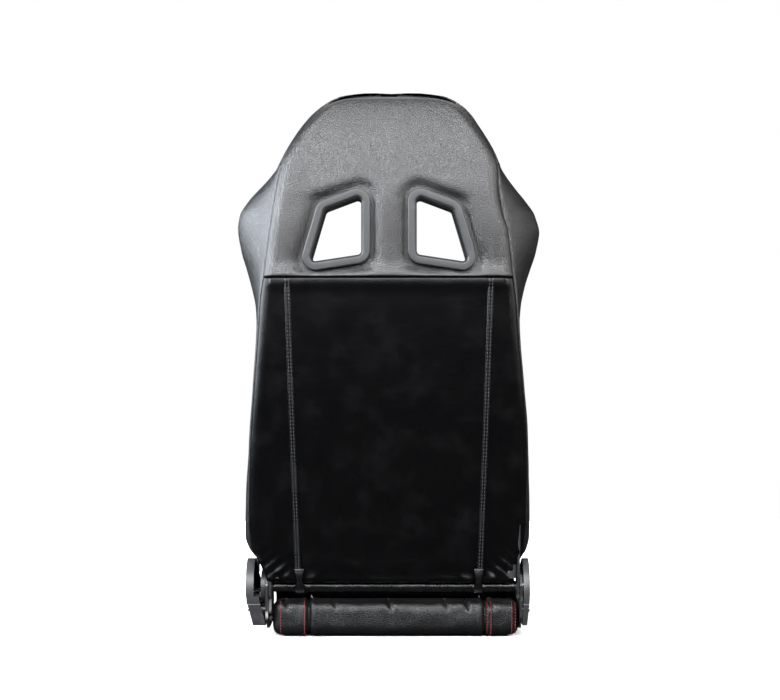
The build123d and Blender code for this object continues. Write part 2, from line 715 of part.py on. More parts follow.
# ---------------------------------------------------------------- base frame
RAIL_FRONT = CUSHION_FRONT + 18.0
RAIL_BACK = PIVOT_Y - 9.0
FRONT_TUBE_Y = RAIL_FRONT + TUBE_R + 2.0
CROSSBAR_Y = CUSHION_BACK + 15.0
ROLL_TUBE_Y = PIVOT_Y - 25.0
TUBE_Z = RAIL_HEIGHT - TUBE_R
SLIDERS = [(sx * SLIDER_SPACING_X / 2, sy * SLIDER_SPACING_Y / 2) for sx in (-1, 1) for sy in (-1, 1)]


def base_rail(side):
    """A pressed channel, open towards the middle of the seat."""
    with BuildPart(mode=Mode.PRIVATE) as rail:
        with BuildSketch(back_view(RAIL_BACK)):
            with BuildLine():
                channel = [
                    (RAIL_IN, 0),
                    (RAIL_OUT, 0),
                    (RAIL_OUT, RAIL_HEIGHT),
                    (RAIL_IN + 8, RAIL_HEIGHT),
                    (RAIL_IN + 8, RAIL_HEIGHT - RAIL_WALL),
                    (RAIL_OUT - RAIL_WALL, RAIL_HEIGHT - RAIL_WALL),
                    (RAIL_OUT - RAIL_WALL, RAIL_WALL),
                    (RAIL_IN, RAIL_WALL),
                ]
                Polyline(*[(side * x, z) for x, z in channel], close=True)
            make_face()
        extrude(amount=RAIL_BACK - RAIL_FRONT)
        with BuildSketch(Plane.XY):
            with Locations(*[c for c in SLIDERS if c[0] * side > 0]):
                Circle(THREAD_R)
        extrude(amount=RAIL_WALL, mode=Mode.SUBTRACT)
        add(along_x(-400, RAIL_BOLTS, RAIL_BOLT_R + 0.25, 800), mode=Mode.SUBTRACT)
    return rail


put(base_rail(1), "base_rail_left")
put(base_rail(-1), "base_rail_right")

with BuildPart() as slider_nuts:
    with BuildSketch(Plane.XY.offset(RAIL_WALL)):
        with Locations(*SLIDERS):
            RegularPolygon(8.0, 6)
            Circle(THREAD_R, mode=Mode.SUBTRACT)
    extrude(amount=8.0)
put(slider_nuts, "slider_weld_nuts")

TUBE_SPAN = RAIL_OUT - RAIL_WALL
with BuildPart() as base_cross_tubes:
    centres = [(FRONT_TUBE_Y, RAIL_HEIGHT / 2), (ROLL_TUBE_Y, RAIL_HEIGHT / 2)]
    add(along_x(-TUBE_SPAN, centres, TUBE_R, 2 * TUBE_SPAN, TUBE_R - TUBE_WALL))
put(base_cross_tubes, "base_cross_tubes")

SPRING_BAR = 6.0
with BuildPart() as spring_crossbar:
    with Locations((0, CROSSBAR_Y, RAIL_HEIGHT - RAIL_WALL - SPRING_BAR / 2)):
        Box(2 * TUBE_SPAN, 14.0, SPRING_BAR)
put(spring_crossbar, "spring_crossbar")

# ---------------------------------------------------------------- sinuous springs
SEAT_SPRING_Z = RAIL_HEIGHT + 1.0
SEAT_SPRING_X = [-105.0, -35.0, 35.0, 105.0]
ZIG, ZIG_PITCH, ZIG_BEND = 18.0, 17.0, 7.5


def zigzag(length):
    """Local points of a flat sinuous spring, running along x from 0, with straight ends on the middle line."""
    count = int((length - 24.0) // ZIG_PITCH)
    start = (length - count * ZIG_PITCH) / 2
    points = [(0.0, 0.0), (start, 0.0)]
    for i in range(count):
        side = ZIG if i % 2 == 0 else -ZIG
        points += [(start + i * ZIG_PITCH, side), (start + (i + 1) * ZIG_PITCH, side)]
    return points + [(start + count * ZIG_PITCH, 0.0), (length, 0.0)]


def sinuous(plane, length):
    """One spring swept along its zigzag on a plane."""
    points = [plane.from_local_coords(Vector(x, y, 0)) for x, y in zigzag(length)]
    with BuildLine(mode=Mode.PRIVATE) as run:
        FilletPolyline(*points, radius=ZIG_BEND)
    return swept(run, WIRE_R)


SEAT_SPRING_FROM = FRONT_TUBE_Y + 4.0
SEAT_SPRING_TO = CROSSBAR_Y - 2.0
with BuildPart() as seat_springs:
    for x in SEAT_SPRING_X:
        add(sinuous(Plane(origin=(x, SEAT_SPRING_FROM, SEAT_SPRING_Z), x_dir=(0, 1, 0), z_dir=(0, 0, 1)),
                    SEAT_SPRING_TO - SEAT_SPRING_FROM))
put(seat_springs, "seat_springs")

CLIP = 10.0
with BuildPart() as seat_spring_clips:
    for x in SEAT_SPRING_X:
        for y in (SEAT_SPRING_FROM - CLIP / 2, SEAT_SPRING_TO + CLIP / 2):
            with Locations((x, y, SEAT_SPRING_Z)):
                Box(12.0, CLIP, 2 * WIRE_R)
    for tube_y in (FRONT_TUBE_Y, CROSSBAR_Y):
        add(along_x(-TUBE_SPAN, [(tube_y, RAIL_HEIGHT / 2)], TUBE_R, 2 * TUBE_SPAN), mode=Mode.SUBTRACT)
put(seat_spring_clips, "seat_spring_clips")

BACK_SPRING_LEVELS = [0.115, 0.215, 0.315, 0.415, 0.515]
LEAN_NORMAL = Vector(0, -cos(radians(HOOP_LEAN)), sin(radians(HOOP_LEAN)))
LEAN_PLANE = Plane(origin=on_hoop(0, PIVOT_Z), x_dir=(1, 0, 0), z_dir=LEAN_NORMAL)
BACK_SPRING_FROM = HOOP_RIGHT + TUBE_R + CLIP
BACK_SPRING_TO = HOOP_LEFT - TUBE_R - CLIP
with BuildPart() as back_springs:
    for level in BACK_SPRING_LEVELS:
        origin = on_hoop(BACK_SPRING_FROM, height(level))
        add(sinuous(Plane(origin=origin, x_dir=(1, 0, 0), z_dir=LEAN_PLANE.z_dir), BACK_SPRING_TO - BACK_SPRING_FROM))
put(back_springs, "back_springs")

with BuildPart() as back_spring_clips:
    for level in BACK_SPRING_LEVELS:
        for x in (BACK_SPRING_FROM - CLIP / 2, BACK_SPRING_TO + CLIP / 2):
            where = Plane(origin=on_hoop(x, height(level)), x_dir=(1, 0, 0), z_dir=LEAN_PLANE.z_dir)
            with Locations(where):
                Box(CLIP - 0.4, 12.0, 2 * WIRE_R)
put(back_spring_clips, "back_spring_clips")

# ---------------------------------------------------------------- backrest foam and covers
SPRING_SLOT = 3.0  # half the gap that the springs lie in
PANEL_STEP = 8.0  # the seams beside the centre panels lie this far inside the bolsters
outer_form = back_form(0)
foam_form = back_form(COVER)
core_span = (BACK_OFFSET - CORE_HALF + PANEL_STEP, BACK_OFFSET + CORE_HALF - PANEL_STEP)
with BuildPart() as spring_gap:
    with BuildSketch(LEAN_PLANE):
        with Locations(((HOOP_LEFT + HOOP_RIGHT) / 2, 0.315 * BACK_LENGTH)):
            Rectangle(HOOP_LEFT - HOOP_RIGHT, 0.50 * BACK_LENGTH)
    extrude(amount=SPRING_SLOT, both=True)
with BuildPart() as arm_room:
    add(along_x(ARM_IN_RIGHT - PLATE - GAP, [(PIVOT_Y, PIVOT_Z)], HUB_R + GAP, PLATE + 2 * GAP))
    add(along_x(ARM_IN_LEFT - GAP, [(PIVOT_Y, PIVOT_Z)], HUB_R + GAP, PLATE + 2 * GAP))
    for low in (ARM_IN_RIGHT - PLATE - GAP, ARM_IN_LEFT - GAP):
        with BuildSketch(side_plane(low)):
            with BuildLine():
                Polyline(
                    (PIVOT_Y - 20, PIVOT_Z), (PIVOT_Y + 28, PIVOT_Z),
                    (ARM_LEAN_Y + ARM_WIDTH / 2 + 1, ARM_TOP + 1), (ARM_LEAN_Y - ARM_WIDTH / 2 - 1, ARM_TOP + 1),
                    close=True,
                )
            make_face()
        extrude(amount=PLATE + 2 * GAP)
    with BuildSketch(side_plane(HOOP_RIGHT)):
        with Locations((hoop_y(CROSSBAR_Z), CROSSBAR_Z)):
            Circle(CROSSBAR_R + GAP)
    extrude(amount=HOOP_LEFT - HOOP_RIGHT)
room_cuts = [hoop_room, spring_gap.part, arm_room.part]
shield_top = PIVOT_Z + SHIELD_R + 4.0
shield_room = [
    half_space(x0=SHIELD_OUT - SHIELD_DEPTH - 1.0, z1=shield_top),
    half_space(x1=SHIELD_OUT_RIGHT + SHIELD_DEPTH_RIGHT + 1.0, z1=shield_top),
]


def behind_hoop(sign):
    """The space behind (+1) or in front of (-1) the hoop's plane."""
    with BuildPart(mode=Mode.PRIVATE) as space:
        with BuildSketch(LEAN_PLANE):
            Rectangle(2400, 2400)
        extrude(amount=-sign * 600)
    return space.part


def foam(name, region, form=foam_form, cuts=()):
    with BuildPart() as piece:
        add(form)
        for keep in region:
            add(keep, mode=Mode.INTERSECT)
        for cut in cuts:
            add(cut, mode=Mode.SUBTRACT)
    return put(piece, name)


centre_low = half_space(x0=core_span[0], x1=core_span[1], z1=height(SEAM_LEVEL))
foam("back_centre_foam", [centre_low, behind_hoop(-1)], cuts=room_cuts)
foam("back_rear_pad", [centre_low, behind_hoop(1)], cuts=room_cuts)
centre_high = half_space(x0=core_span[0], x1=core_span[1], z0=height(SEAM_LEVEL), z1=height(NECK_LEVEL))
foam("shoulder_foam", [centre_high], cuts=room_cuts + TUNNELS)
foam("headrest_foam", [half_space(z0=height(NECK_LEVEL))], cuts=room_cuts)
foam("back_bolster_foam_left", [half_space(x0=core_span[1], z1=height(NECK_LEVEL))],
     cuts=room_cuts + shield_room)
foam("back_bolster_foam_right", [half_space(x1=core_span[0], z1=height(NECK_LEVEL))],
     cuts=room_cuts + shield_room)

with BuildPart() as back_skin:
    add(outer_form)
    add(foam_form, mode=Mode.SUBTRACT)
skin = back_skin.part

with BuildPart() as rear_zone:
    with BuildSketch(side_plane(-600)):
        with BuildLine():
            edge = [(PIVOT_Y + s.rear - EDGE_DROP, height(s.level)) for s in STATIONS[:-1]]
            above = SEAT_HEIGHT + 60
            Polyline((edge[0][0], 0), *edge, (edge[-1][0], above), (900, above), (900, 0), close=True)
        make_face()
    extrude(amount=1200)
rear_space = rear_zone.part
with BuildPart() as front_zone:
    add(half_space(y0=-500, y1=900, z0=0, z1=SEAT_HEIGHT + 60))
    add(rear_space, mode=Mode.SUBTRACT)
front_space = front_zone.part

FLAP = [(31.0, 0.038), (28.0, 0.038), (2.0, 0.0149), (6.0, 0.0149)]
leg_room = [hoop_room, arm_room.part]
cover_cuts = TUNNELS + leg_room
foam("rear_cover_upper", [rear_space, half_space(z0=height(SEAM_LEVEL))], form=skin, cuts=TUNNELS)
with BuildPart() as rear_cover_lower:
    add(skin)
    add(rear_space, mode=Mode.INTERSECT)
    add(half_space(z1=height(SEAM_LEVEL)), mode=Mode.INTERSECT)
    with BuildSketch(side_plane(BACK_OFFSET - HALF + 26)):
        with BuildLine():
            Polyline(*[(PIVOT_Y + y, height(l)) for y, l in FLAP], close=True)
        make_face()
    extrude(amount=BASE_WIDTH - 52)
    add(arm_room.part, mode=Mode.SUBTRACT)
    add(shield_room, mode=Mode.SUBTRACT)
    add(hoop_room, mode=Mode.SUBTRACT)
put(rear_cover_lower, "rear_cover_lower")
foam("headrest_cover", [front_space, half_space(z0=height(NECK_LEVEL))], form=skin)
foam("back_centre_cover", [front_space, half_space(x0=core_span[0], x1=core_span[1], z1=height(NECK_LEVEL))],
     form=skin, cuts=cover_cuts)
foam("back_bolster_cover_left", [front_space, half_space(x0=core_span[1], z1=height(NECK_LEVEL))], form=skin,
     cuts=leg_room + shield_room)
foam("back_bolster_cover_right", [front_space, half_space(x1=core_span[0], z1=height(NECK_LEVEL))], form=skin,
     cuts=leg_room + shield_room)

# hem rolled round the lower bar, the two straps that pull the rear cover down over it, and the two raised seams
with BuildPart() as hem_wrap:
    add(along_x(ARM_IN_RIGHT + 0.5, [(PIVOT_Y, PIVOT_Z)], WRAP_R, ARM_IN_LEFT - ARM_IN_RIGHT - 1.0, BAR_R))
put(hem_wrap, "hem_wrap")

SEAM_X = HALF - 42.0
STRAP_X = HALF - 52.0
STRAP_WIDTH = 12.0
with BuildPart() as hem_straps:
    for side in (-1, 1):
        with BuildSketch(side_plane(BACK_OFFSET + side * STRAP_X - STRAP_WIDTH / 2)):
            with BuildLine():
                Polyline(
                    (PIVOT_Y + 33.5, height(0.042)),
                    (PIVOT_Y + 33.5, height(0.034)),
                    (PIVOT_Y + 12.2, height(0.004)),
                    (PIVOT_Y + 8.0, height(-0.013)),
                    (PIVOT_Y + 10.0, height(-0.014)),
                    (PIVOT_Y + 14.4, height(0.004)),
                    (PIVOT_Y + 36.0, height(0.032)),
                    (PIVOT_Y + 36.0, height(0.042)),
                    close=True,
                )
            make_face()
        extrude(amount=STRAP_WIDTH)
    add(outer_form, mode=Mode.SUBTRACT)
    add(along_x(-400, [(PIVOT_Y, PIVOT_Z)], WRAP_R, 800), mode=Mode.SUBTRACT)
put(hem_straps, "hem_straps")

SEAM_WIDTH, SEAM_RISE = 10.0, 1.6
with BuildPart() as rear_seams:
    for side in (-1, 1):
        with BuildSketch(side_plane(BACK_OFFSET + side * SEAM_X - SEAM_WIDTH / 2)):
            with BuildLine():
                lower = [s for s in STATIONS if 0.05 < s.level <= SEAM_LEVEL]
                Polyline(
                    *[(PIVOT_Y + s.rear - 6.0, height(s.level)) for s in lower],
                    *[(PIVOT_Y + s.rear + SEAM_RISE, height(s.level)) for s in reversed(lower)],
                    close=True,
                )
            make_face()
        extrude(amount=SEAM_WIDTH)
    add(outer_form, mode=Mode.SUBTRACT)
put(rear_seams, "rear_seam_strips")


# ---------------------------------------------------------------- harness bezels
def bezel(side, face, way, joint):
    """A flanged trim ring with a sleeve that runs into the slot as far as joint. way is +1 to the rear."""
    with BuildPart(mode=Mode.PRIVATE) as ring:
        top = face + way * BEZEL_THICK
        extrude(slot_sketch(side, 0, max(face, top)), amount=BEZEL_THICK, dir=FORWARD)
        ring_edges = ring.faces().sort_by(Axis.Y)[-1 if way > 0 else 0].edges()
        chamfer(ring_edges, 1.5)
        extrude(slot_sketch(side, BEZEL_BAND - SLEEVE_WALL, max(face, joint)), amount=abs(face - joint), dir=FORWARD)
        extrude(slot_sketch(side, BEZEL_BAND, SLOT_REAR + 60), amount=300, dir=FORWARD, mode=Mode.SUBTRACT)
    return ring


for side, word in ((1, "left"), (-1, "right")):
    put(bezel(side, SLOT_REAR + 0.3, 1, SLEEVE_JOINT + 0.2), f"harness_bezel_rear_{word}")
    put(bezel(side, SLOT_FRONT - 0.3, -1, SLEEVE_JOINT - 0.2), f"harness_bezel_front_{word}")


# ---------------------------------------------------------------- cushion foam and covers
BOLSTER_SIDE = [(CUSHION_BACK, 4), (CUSHION_BACK, 138), (100, 166), (50, 192), (-10, 206), (-110, 212), (-190, 206),
                (-228, 186), (CUSHION_FRONT, 120), (CUSHION_FRONT, 4)]  # the bolster from the side
SEATING_LINE = [(CUSHION_BACK, 131), (50, 138), (-110, 155), (-190, 164), (-226, 156), (CUSHION_FRONT, 118)]
PLAN = [(CUSHION_BACK, 0), (80, 0), (50, 3), (-10, 18), (-110, 32), (-190, 28), (-228, 10), (CUSHION_FRONT, -12)]
CUSHION_CORE = HALF - 60.0
CUSHION_SLOPE = 22.0
UNDERCUT = 90.0  # below this height the flare runs in to the base's width
NOSE_SEAM = -185.0


def cushion_flare(inset):
    """The cushion from behind: base width at the floor, opening to the bolsters' full width."""
    wide = HALF + 34
    right = [(HALF, 4), (HALF, 40), (wide, 130), (wide, 172), (wide - 24, 214)]
    with BuildSketch(back_view(400), mode=Mode.PRIVATE) as section:
        with BuildLine():
            Polyline(*right, *[(-x, z) for x, z in reversed(right)], close=True)
        make_face()
        if inset:
            offset(amount=-inset, kind=Kind.INTERSECTION, mode=Mode.REPLACE)
    return section.sketch


def cushion_plan(inset):
    right = [(HALF + x, y) for y, x in PLAN]
    with BuildSketch(Plane.XY, mode=Mode.PRIVATE) as plan:
        with BuildLine():
            Polyline(*right, *[(-x, y) for x, y in reversed(right)], close=True)
        make_face()
        if inset:
            offset(amount=-inset, kind=Kind.INTERSECTION, mode=Mode.REPLACE)
    return plan.sketch


def cushion_side(inset):
    with BuildSketch(side_plane(-400), mode=Mode.PRIVATE) as view:
        with BuildLine():
            Polyline(*BOLSTER_SIDE, close=True)
        make_face()
        if inset:
            offset(amount=-inset, kind=Kind.INTERSECTION, mode=Mode.REPLACE)
    return view.sketch


def cushion_hollow(grow):
    """The dish between the cushion's bolsters."""
    with BuildPart(mode=Mode.PRIVATE) as dish:
        with BuildSketch(side_plane(-400)):
            with BuildLine():
                line = [(y, z - grow) for y, z in SEATING_LINE]
                Polyline((CUSHION_BACK + 200, line[0][1]), *line, (CUSHION_FRONT - 200, 118 - grow),
                         (CUSHION_FRONT - 200, 600), (CUSHION_BACK + 200, 600), close=True)
            make_face()
        extrude(amount=800)
        with BuildSketch(back_view(500)):
            with BuildLine():
                floor, rim = CUSHION_CORE + grow, CUSHION_CORE + CUSHION_SLOPE + grow
                Polyline((-floor, 0), (floor, 0), (floor, 140), (rim, 215), (rim, 700), (-rim, 700), (-rim, 215),
                         (-floor, 140), close=True)
            make_face()
        extrude(amount=1000, mode=Mode.INTERSECT)
    return dish.part


def cushion_form(inset):
    with BuildPart(mode=Mode.PRIVATE) as form:
        extrude(cushion_side(inset), amount=800, dir=ACROSS)
        extrude(cushion_flare(inset), amount=900, dir=FORWARD, mode=Mode.INTERSECT)
        extrude(cushion_plan(inset), amount=400, dir=(0, 0, 1), mode=Mode.INTERSECT)
        add(cushion_hollow(inset), mode=Mode.SUBTRACT)
    return form.part


cushion_outer = cushion_form(0)
cushion_inner = cushion_form(COVER)
BAY_FRONT = RAIL_FRONT - 4.0
bay = half_space(x0=-BAY_HALF, x1=BAY_HALF, y0=BAY_FRONT, z1=BAY_TOP)
with BuildPart() as spacer_room:
    add(along_x(-400, [RAIL_BOLTS[0]], 9.0, 800))
seat_cuts = [bay, spacer_room.part]
with BuildPart() as cushion_skin:
    add(cushion_outer)
    add(cushion_inner, mode=Mode.SUBTRACT)
seat_skin = cushion_skin.part

SEAT_SEAM = CUSHION_CORE - PANEL_STEP
middle = half_space(x0=-SEAT_SEAM, x1=SEAT_SEAM)
left_side, right_side = half_space(x0=SEAT_SEAM), half_space(x1=-SEAT_SEAM)
back_of_nose, nose = half_space(y0=NOSE_SEAM), half_space(y1=NOSE_SEAM)
foam("cushion_centre_foam", [middle], form=cushion_inner, cuts=seat_cuts)
foam("cushion_bolster_foam_left", [left_side], form=cushion_inner, cuts=seat_cuts)
foam("cushion_bolster_foam_right", [right_side], form=cushion_inner, cuts=seat_cuts)
foam("cushion_centre_cover", [middle, back_of_nose], form=seat_skin, cuts=seat_cuts)
foam("cushion_nose_cover", [middle, nose], form=seat_skin, cuts=seat_cuts)
foam("cushion_bolster_cover_left", [left_side], form=seat_skin, cuts=seat_cuts)
foam("cushion_bolster_cover_right", [right_side], form=seat_skin, cuts=seat_cuts)

# rear roll of the cushion, wrapped round the base's rear tube
ROLL_BACK = PIVOT_Y + 15.0
ROLL_FRONT = PIVOT_Y - 47.0
ROLL_TOP = PIVOT_Z - 24.0
ROLL_BOTTOM = 2.0
ROLL_CORNER = 22.0


def roll_form(inset):
    with BuildPart(mode=Mode.PRIVATE) as form:
        with BuildSketch(side_plane(-HALF + inset)) as shape:
            with Locations(((ROLL_BACK + ROLL_FRONT) / 2, (ROLL_TOP + ROLL_BOTTOM) / 2)):
                Rectangle(ROLL_BACK - ROLL_FRONT - 2 * inset, ROLL_TOP - ROLL_BOTTOM - 2 * inset)
            fillet(shape.vertices(), ROLL_CORNER - inset)
        extrude(amount=BASE_WIDTH - 2 * inset)
    return form.part


rail_room = [half_space(s * RAIL_IN - GAP if s > 0 else -RAIL_OUT - GAP, RAIL_OUT + GAP if s > 0 else -RAIL_IN + GAP,
                        0, RAIL_BACK + GAP, -1, RAIL_HEIGHT + GAP) for s in (1, -1)]
tube_room = along_x(-TUBE_SPAN, [(ROLL_TUBE_Y, RAIL_HEIGHT / 2)], TUBE_R + GAP, 2 * TUBE_SPAN)
foam("rear_roll_foam", [], form=roll_form(COVER), cuts=rail_room + [tube_room])
with BuildPart() as roll_skin:
    add(roll_form(0))
    add(roll_form(COVER), mode=Mode.SUBTRACT)
foam("rear_roll_cover", [], form=roll_skin.part, cuts=rail_room)

with BuildPart() as valley_cover:
    with Locations((0, (CUSHION_BACK + ROLL_FRONT) / 2, BAY_TOP + GAP + COVER / 2)):
        Box(BASE_WIDTH - 2 * COVER, ROLL_FRONT - CUSHION_BACK, COVER)
put(valley_cover, "valley_cover")
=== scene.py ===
"""Looks of a reclining racing seat: sewn vinyl panels, red-stitched cushion, harness trims and side covers.

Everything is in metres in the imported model's frame: +Z up, +Y to the seat's back, +X to the recline lever.
"""
from math import atan2, cos, pi, radians, sin

import bmesh
import bpy
import numpy as np
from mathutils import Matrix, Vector, noise


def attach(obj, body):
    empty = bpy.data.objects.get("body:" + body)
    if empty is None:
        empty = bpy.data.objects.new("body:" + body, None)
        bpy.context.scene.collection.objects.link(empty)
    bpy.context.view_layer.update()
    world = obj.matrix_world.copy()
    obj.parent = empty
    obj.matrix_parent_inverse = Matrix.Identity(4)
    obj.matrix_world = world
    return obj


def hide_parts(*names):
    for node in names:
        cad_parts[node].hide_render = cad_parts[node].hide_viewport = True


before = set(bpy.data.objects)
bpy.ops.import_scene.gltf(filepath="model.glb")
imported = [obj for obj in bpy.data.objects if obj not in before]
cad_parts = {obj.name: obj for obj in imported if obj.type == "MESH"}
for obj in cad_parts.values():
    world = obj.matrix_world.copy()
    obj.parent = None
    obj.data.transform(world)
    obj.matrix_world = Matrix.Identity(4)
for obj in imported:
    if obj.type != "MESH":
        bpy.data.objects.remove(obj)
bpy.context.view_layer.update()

# ---------------------------------------------------------------- sizes shared with the solids
CENTRE_X = 0.011
PIVOT = Vector((0.0, 0.237, 0.086))
BACK_LENGTH = 0.839
BASE_HALF = 0.210
SEAM_Z = PIVOT.z + 0.627 * BACK_LENGTH
CORE_HALF = 0.158
COVER = 0.003


def smooth(table):
    """A gentle curve through (position, value) pairs, flat where the values turn."""
    xs = np.array([p[0] for p in table], float)
    ys = np.array([p[1] for p in table], float)
    slopes = np.diff(ys) / np.diff(xs)
    m = np.concatenate([[slopes[0]], np.zeros(len(xs) - 2), [slopes[-1]]])
    for i in range(1, len(xs) - 1):
        a, b = slopes[i - 1], slopes[i]
        m[i] = 0.0 if a * b <= 0 else 2 * a * b / (a + b)

    def at(x):
        x = np.clip(np.asarray(x, float), xs[0], xs[-1])
        i = np.clip(np.searchsorted(xs, x) - 1, 0, len(xs) - 2)
        h = xs[i + 1] - xs[i]
        t = (x - xs[i]) / h
        return (
            ys[i] * (2 * t**3 - 3 * t**2 + 1)
            + m[i] * h * (t**3 - 2 * t**2 + t)
            + ys[i + 1] * (3 * t**2 - 2 * t**3)
            + m[i + 1] * h * (t**3 - t**2)
        )

    return at


# half widths and depths of the backrest by height; depths are behind (+) or ahead (-) of the pivot
outline = smooth([
    (0.104, 0.212), (0.118, 0.2175), (0.136, 0.2270), (0.150, 0.240), (0.170, 0.2475), (0.197, 0.2480),
    (0.240, 0.2475),
    (0.300, 0.242), (0.370, 0.236), (0.440, 0.230), (0.525, 0.2255), (0.560, 0.2285), (0.593, 0.2350),
    (0.628, 0.2445), (0.660, 0.254), (0.699, 0.2595),
    (0.722, 0.256), (0.745, 0.242), (0.768, 0.2195), (0.785, 0.2025), (0.802, 0.188), (0.827, 0.1742),
    (0.861, 0.1532),
    (0.878, 0.1406), (0.8913, 0.1288), (0.9048, 0.113), (0.9115, 0.1027), (0.918, 0.087), (0.9225, 0.060),
    (0.925, 0.02),
])
seam_line = smooth([
    (0.100, 0.208), (0.118, 0.2145), (0.136, 0.2235), (0.150, 0.233), (0.200, 0.238), (0.260, 0.237),
    (0.330, 0.234), (0.400, 0.229),
    (0.470, 0.2235), (0.525, 0.219), (0.575, 0.2155), (0.612, 0.210), (0.660, 0.204), (0.700, 0.1985),
    (0.730, 0.194),
    (0.777, 0.186), (0.802, 0.1805), (0.827, 0.1695), (0.861, 0.1485), (0.878, 0.135), (0.8913, 0.1225),
    (0.9035, 0.106),
    (0.911, 0.088), (0.9165, 0.060), (0.919, 0.02),
])
rear_line = smooth([
    (0.095, 0.033), (0.118, 0.035), (0.150, 0.040), (0.200, 0.049), (0.260, 0.060), (0.330, 0.071),
    (0.400, 0.082),
    (0.470, 0.090), (0.522, 0.0955), (0.590, 0.1005), (0.630, 0.102), (0.690, 0.103), (0.750, 0.101),
    (0.790, 0.0955),
    (0.830, 0.088), (0.870, 0.078), (0.900, 0.0675), (0.915, 0.059), (0.925, 0.050),
])
front_line = smooth([
    (0.104, -0.046), (0.150, -0.047), (0.200, -0.044), (0.260, -0.037), (0.330, -0.028), (0.400, -0.012),
    (0.522, 0.008), (0.612, 0.017), (0.690, 0.021), (0.750, 0.023), (0.790, 0.021),
])
tip_line = smooth([
    (0.104, -0.040), (0.150, -0.050), (0.200, -0.076), (0.260, -0.102), (0.330, -0.116), (0.400, -0.104),
    (0.470, -0.084), (0.522, -0.075), (0.600, -0.082), (0.690, -0.090), (0.735, -0.076), (0.775, -0.046),
    (0.812, -0.018),
])

# the far side is slimmer at the shoulder and fuller at the head than the lever side
lopsided = smooth([
    (0.136, -0.001), (0.170, -0.0055), (0.240, -0.0045), (0.300, -0.002), (0.370, -0.001), (0.560, -0.003),
    (0.690, -0.001), (0.715, -0.005), (0.745, -0.0075), (0.775, -0.003), (0.800, 0.001), (0.830, 0.0035),
    (0.866, 0.005),
    (0.890, 0.009), (0.905, 0.0115), (0.925, 0.012),
])


def uneven(xs, half, z):
    """Side offsets with those of the far side stretched to that side's own half width."""
    return np.where(xs < 0, xs * (half + float(lopsided(z))) / half, xs)


# ---------------------------------------------------------------- materials


def socket(group, name, kind, way, value=None):
    s = group.interface.new_socket(name=name, in_out=way, socket_type=kind)
    if value is not None:
        s.default_value = value
    return s


def link(tree, a, b):
    tree.links.new(a, b)


def math_node(tree, op, a, b=None, clamp=False):
    node = tree.nodes.new("ShaderNodeMath")
    node.operation = op
    node.use_clamp = clamp
    for i, v in enumerate((a, b)):
        if v is None:
            continue
        if isinstance(v, (int, float)):
            node.inputs[i].default_value = v
        else:
            link(tree, v, node.inputs[i])
    return node.outputs[0]


def mix_colour(tree, fac, a, b):
    node = tree.nodes.new("ShaderNodeMix")
    node.data_type = "RGBA"
    for s, v in ((node.inputs[0], fac), (node.inputs[6], a), (node.inputs[7], b)):
        if isinstance(v, (int, float, tuple)):
            s.default_value = v
        else:
            link(tree, v, s)
    return node.outputs[2]


def leather_group():
    """Grained vinyl: pebbled cells with fine creases between them, slow unevenness, dust in slow patches."""
    g = bpy.data.node_groups.new("VinylGrain", "ShaderNodeTree")
    socket(g, "Cells per metre", "NodeSocketFloat", "INPUT", 340.0)
    socket(g, "Grain depth", "NodeSocketFloat", "INPUT", 0.55)
    socket(g, "Base", "NodeSocketColor", "INPUT", (0.0016, 0.0016, 0.0018, 1))
    socket(g, "Gloss roughness", "NodeSocketFloat", "INPUT", 0.36)
    socket(g, "Color", "NodeSocketColor", "OUTPUT")
    socket(g, "Roughness", "NodeSocketFloat", "OUTPUT")
    socket(g, "Normal", "NodeSocketVector", "OUTPUT")
    n_in = g.nodes.new("NodeGroupInput")
    n_out = g.nodes.new("NodeGroupOutput")
    where = g.nodes.new("ShaderNodeTexCoord")
    cells = g.nodes.new("ShaderNodeTexVoronoi")
    cells.feature = "DISTANCE_TO_EDGE"
    link(g, where.outputs["Object"], cells.inputs["Vector"])
    link(g, n_in.outputs["Cells per metre"], cells.inputs["Scale"])
    pebble = g.nodes.new("ShaderNodeMapRange")
    pebble.inputs["From Max"].default_value = 0.22
    link(g, cells.outputs["Distance"], pebble.inputs["Value"])
    slow = g.nodes.new("ShaderNodeTexNoise")
    slow.inputs["Scale"].default_value = 22.0
    slow.inputs["Detail"].default_value = 4.0
    link(g, where.outputs["Object"], slow.inputs["Vector"])
    fine = g.nodes.new("ShaderNodeTexNoise")
    fine.inputs["Scale"].default_value = 620.0
    link(g, where.outputs["Object"], fine.inputs["Vector"])
    height = math_node(g, "ADD", pebble.outputs["Result"], math_node(g, "MULTIPLY", fine.outputs["Fac"],
                                                                     0.35))
    bump = g.nodes.new("ShaderNodeBump")
    bump.inputs["Distance"].default_value = 0.0004
    link(g, n_in.outputs["Grain depth"], bump.inputs["Strength"])
    link(g, height, bump.inputs["Height"])
    soft = g.nodes.new("ShaderNodeBump")
    soft.inputs["Distance"].default_value = 0.004
    soft.inputs["Strength"].default_value = 0.22
    link(g, slow.outputs["Fac"], soft.inputs["Height"])
    link(g, bump.outputs["Normal"], soft.inputs["Normal"])
    dusty = g.nodes.new("ShaderNodeMapRange")
    dusty.inputs["From Min"].default_value = 0.52
    dusty.inputs["From Max"].default_value = 0.80
    dusty.inputs["To Max"].default_value = 0.25
    link(g, slow.outputs["Fac"], dusty.inputs["Value"])
    col = mix_colour(g, dusty.outputs["Result"], n_in.outputs["Base"], (0.0042, 0.0042, 0.0045, 1))
    rough = math_node(g, "ADD", n_in.outputs["Gloss roughness"],
                      math_node(g, "MULTIPLY", math_node(g, "SUBTRACT", slow.outputs["Fac"], 0.5), 0.16),
                      clamp=True)
    link(g, col, n_out.inputs["Color"])
    link(g, rough, n_out.inputs["Roughness"])
    link(g, soft.outputs["Normal"], n_out.inputs["Normal"])
    return g


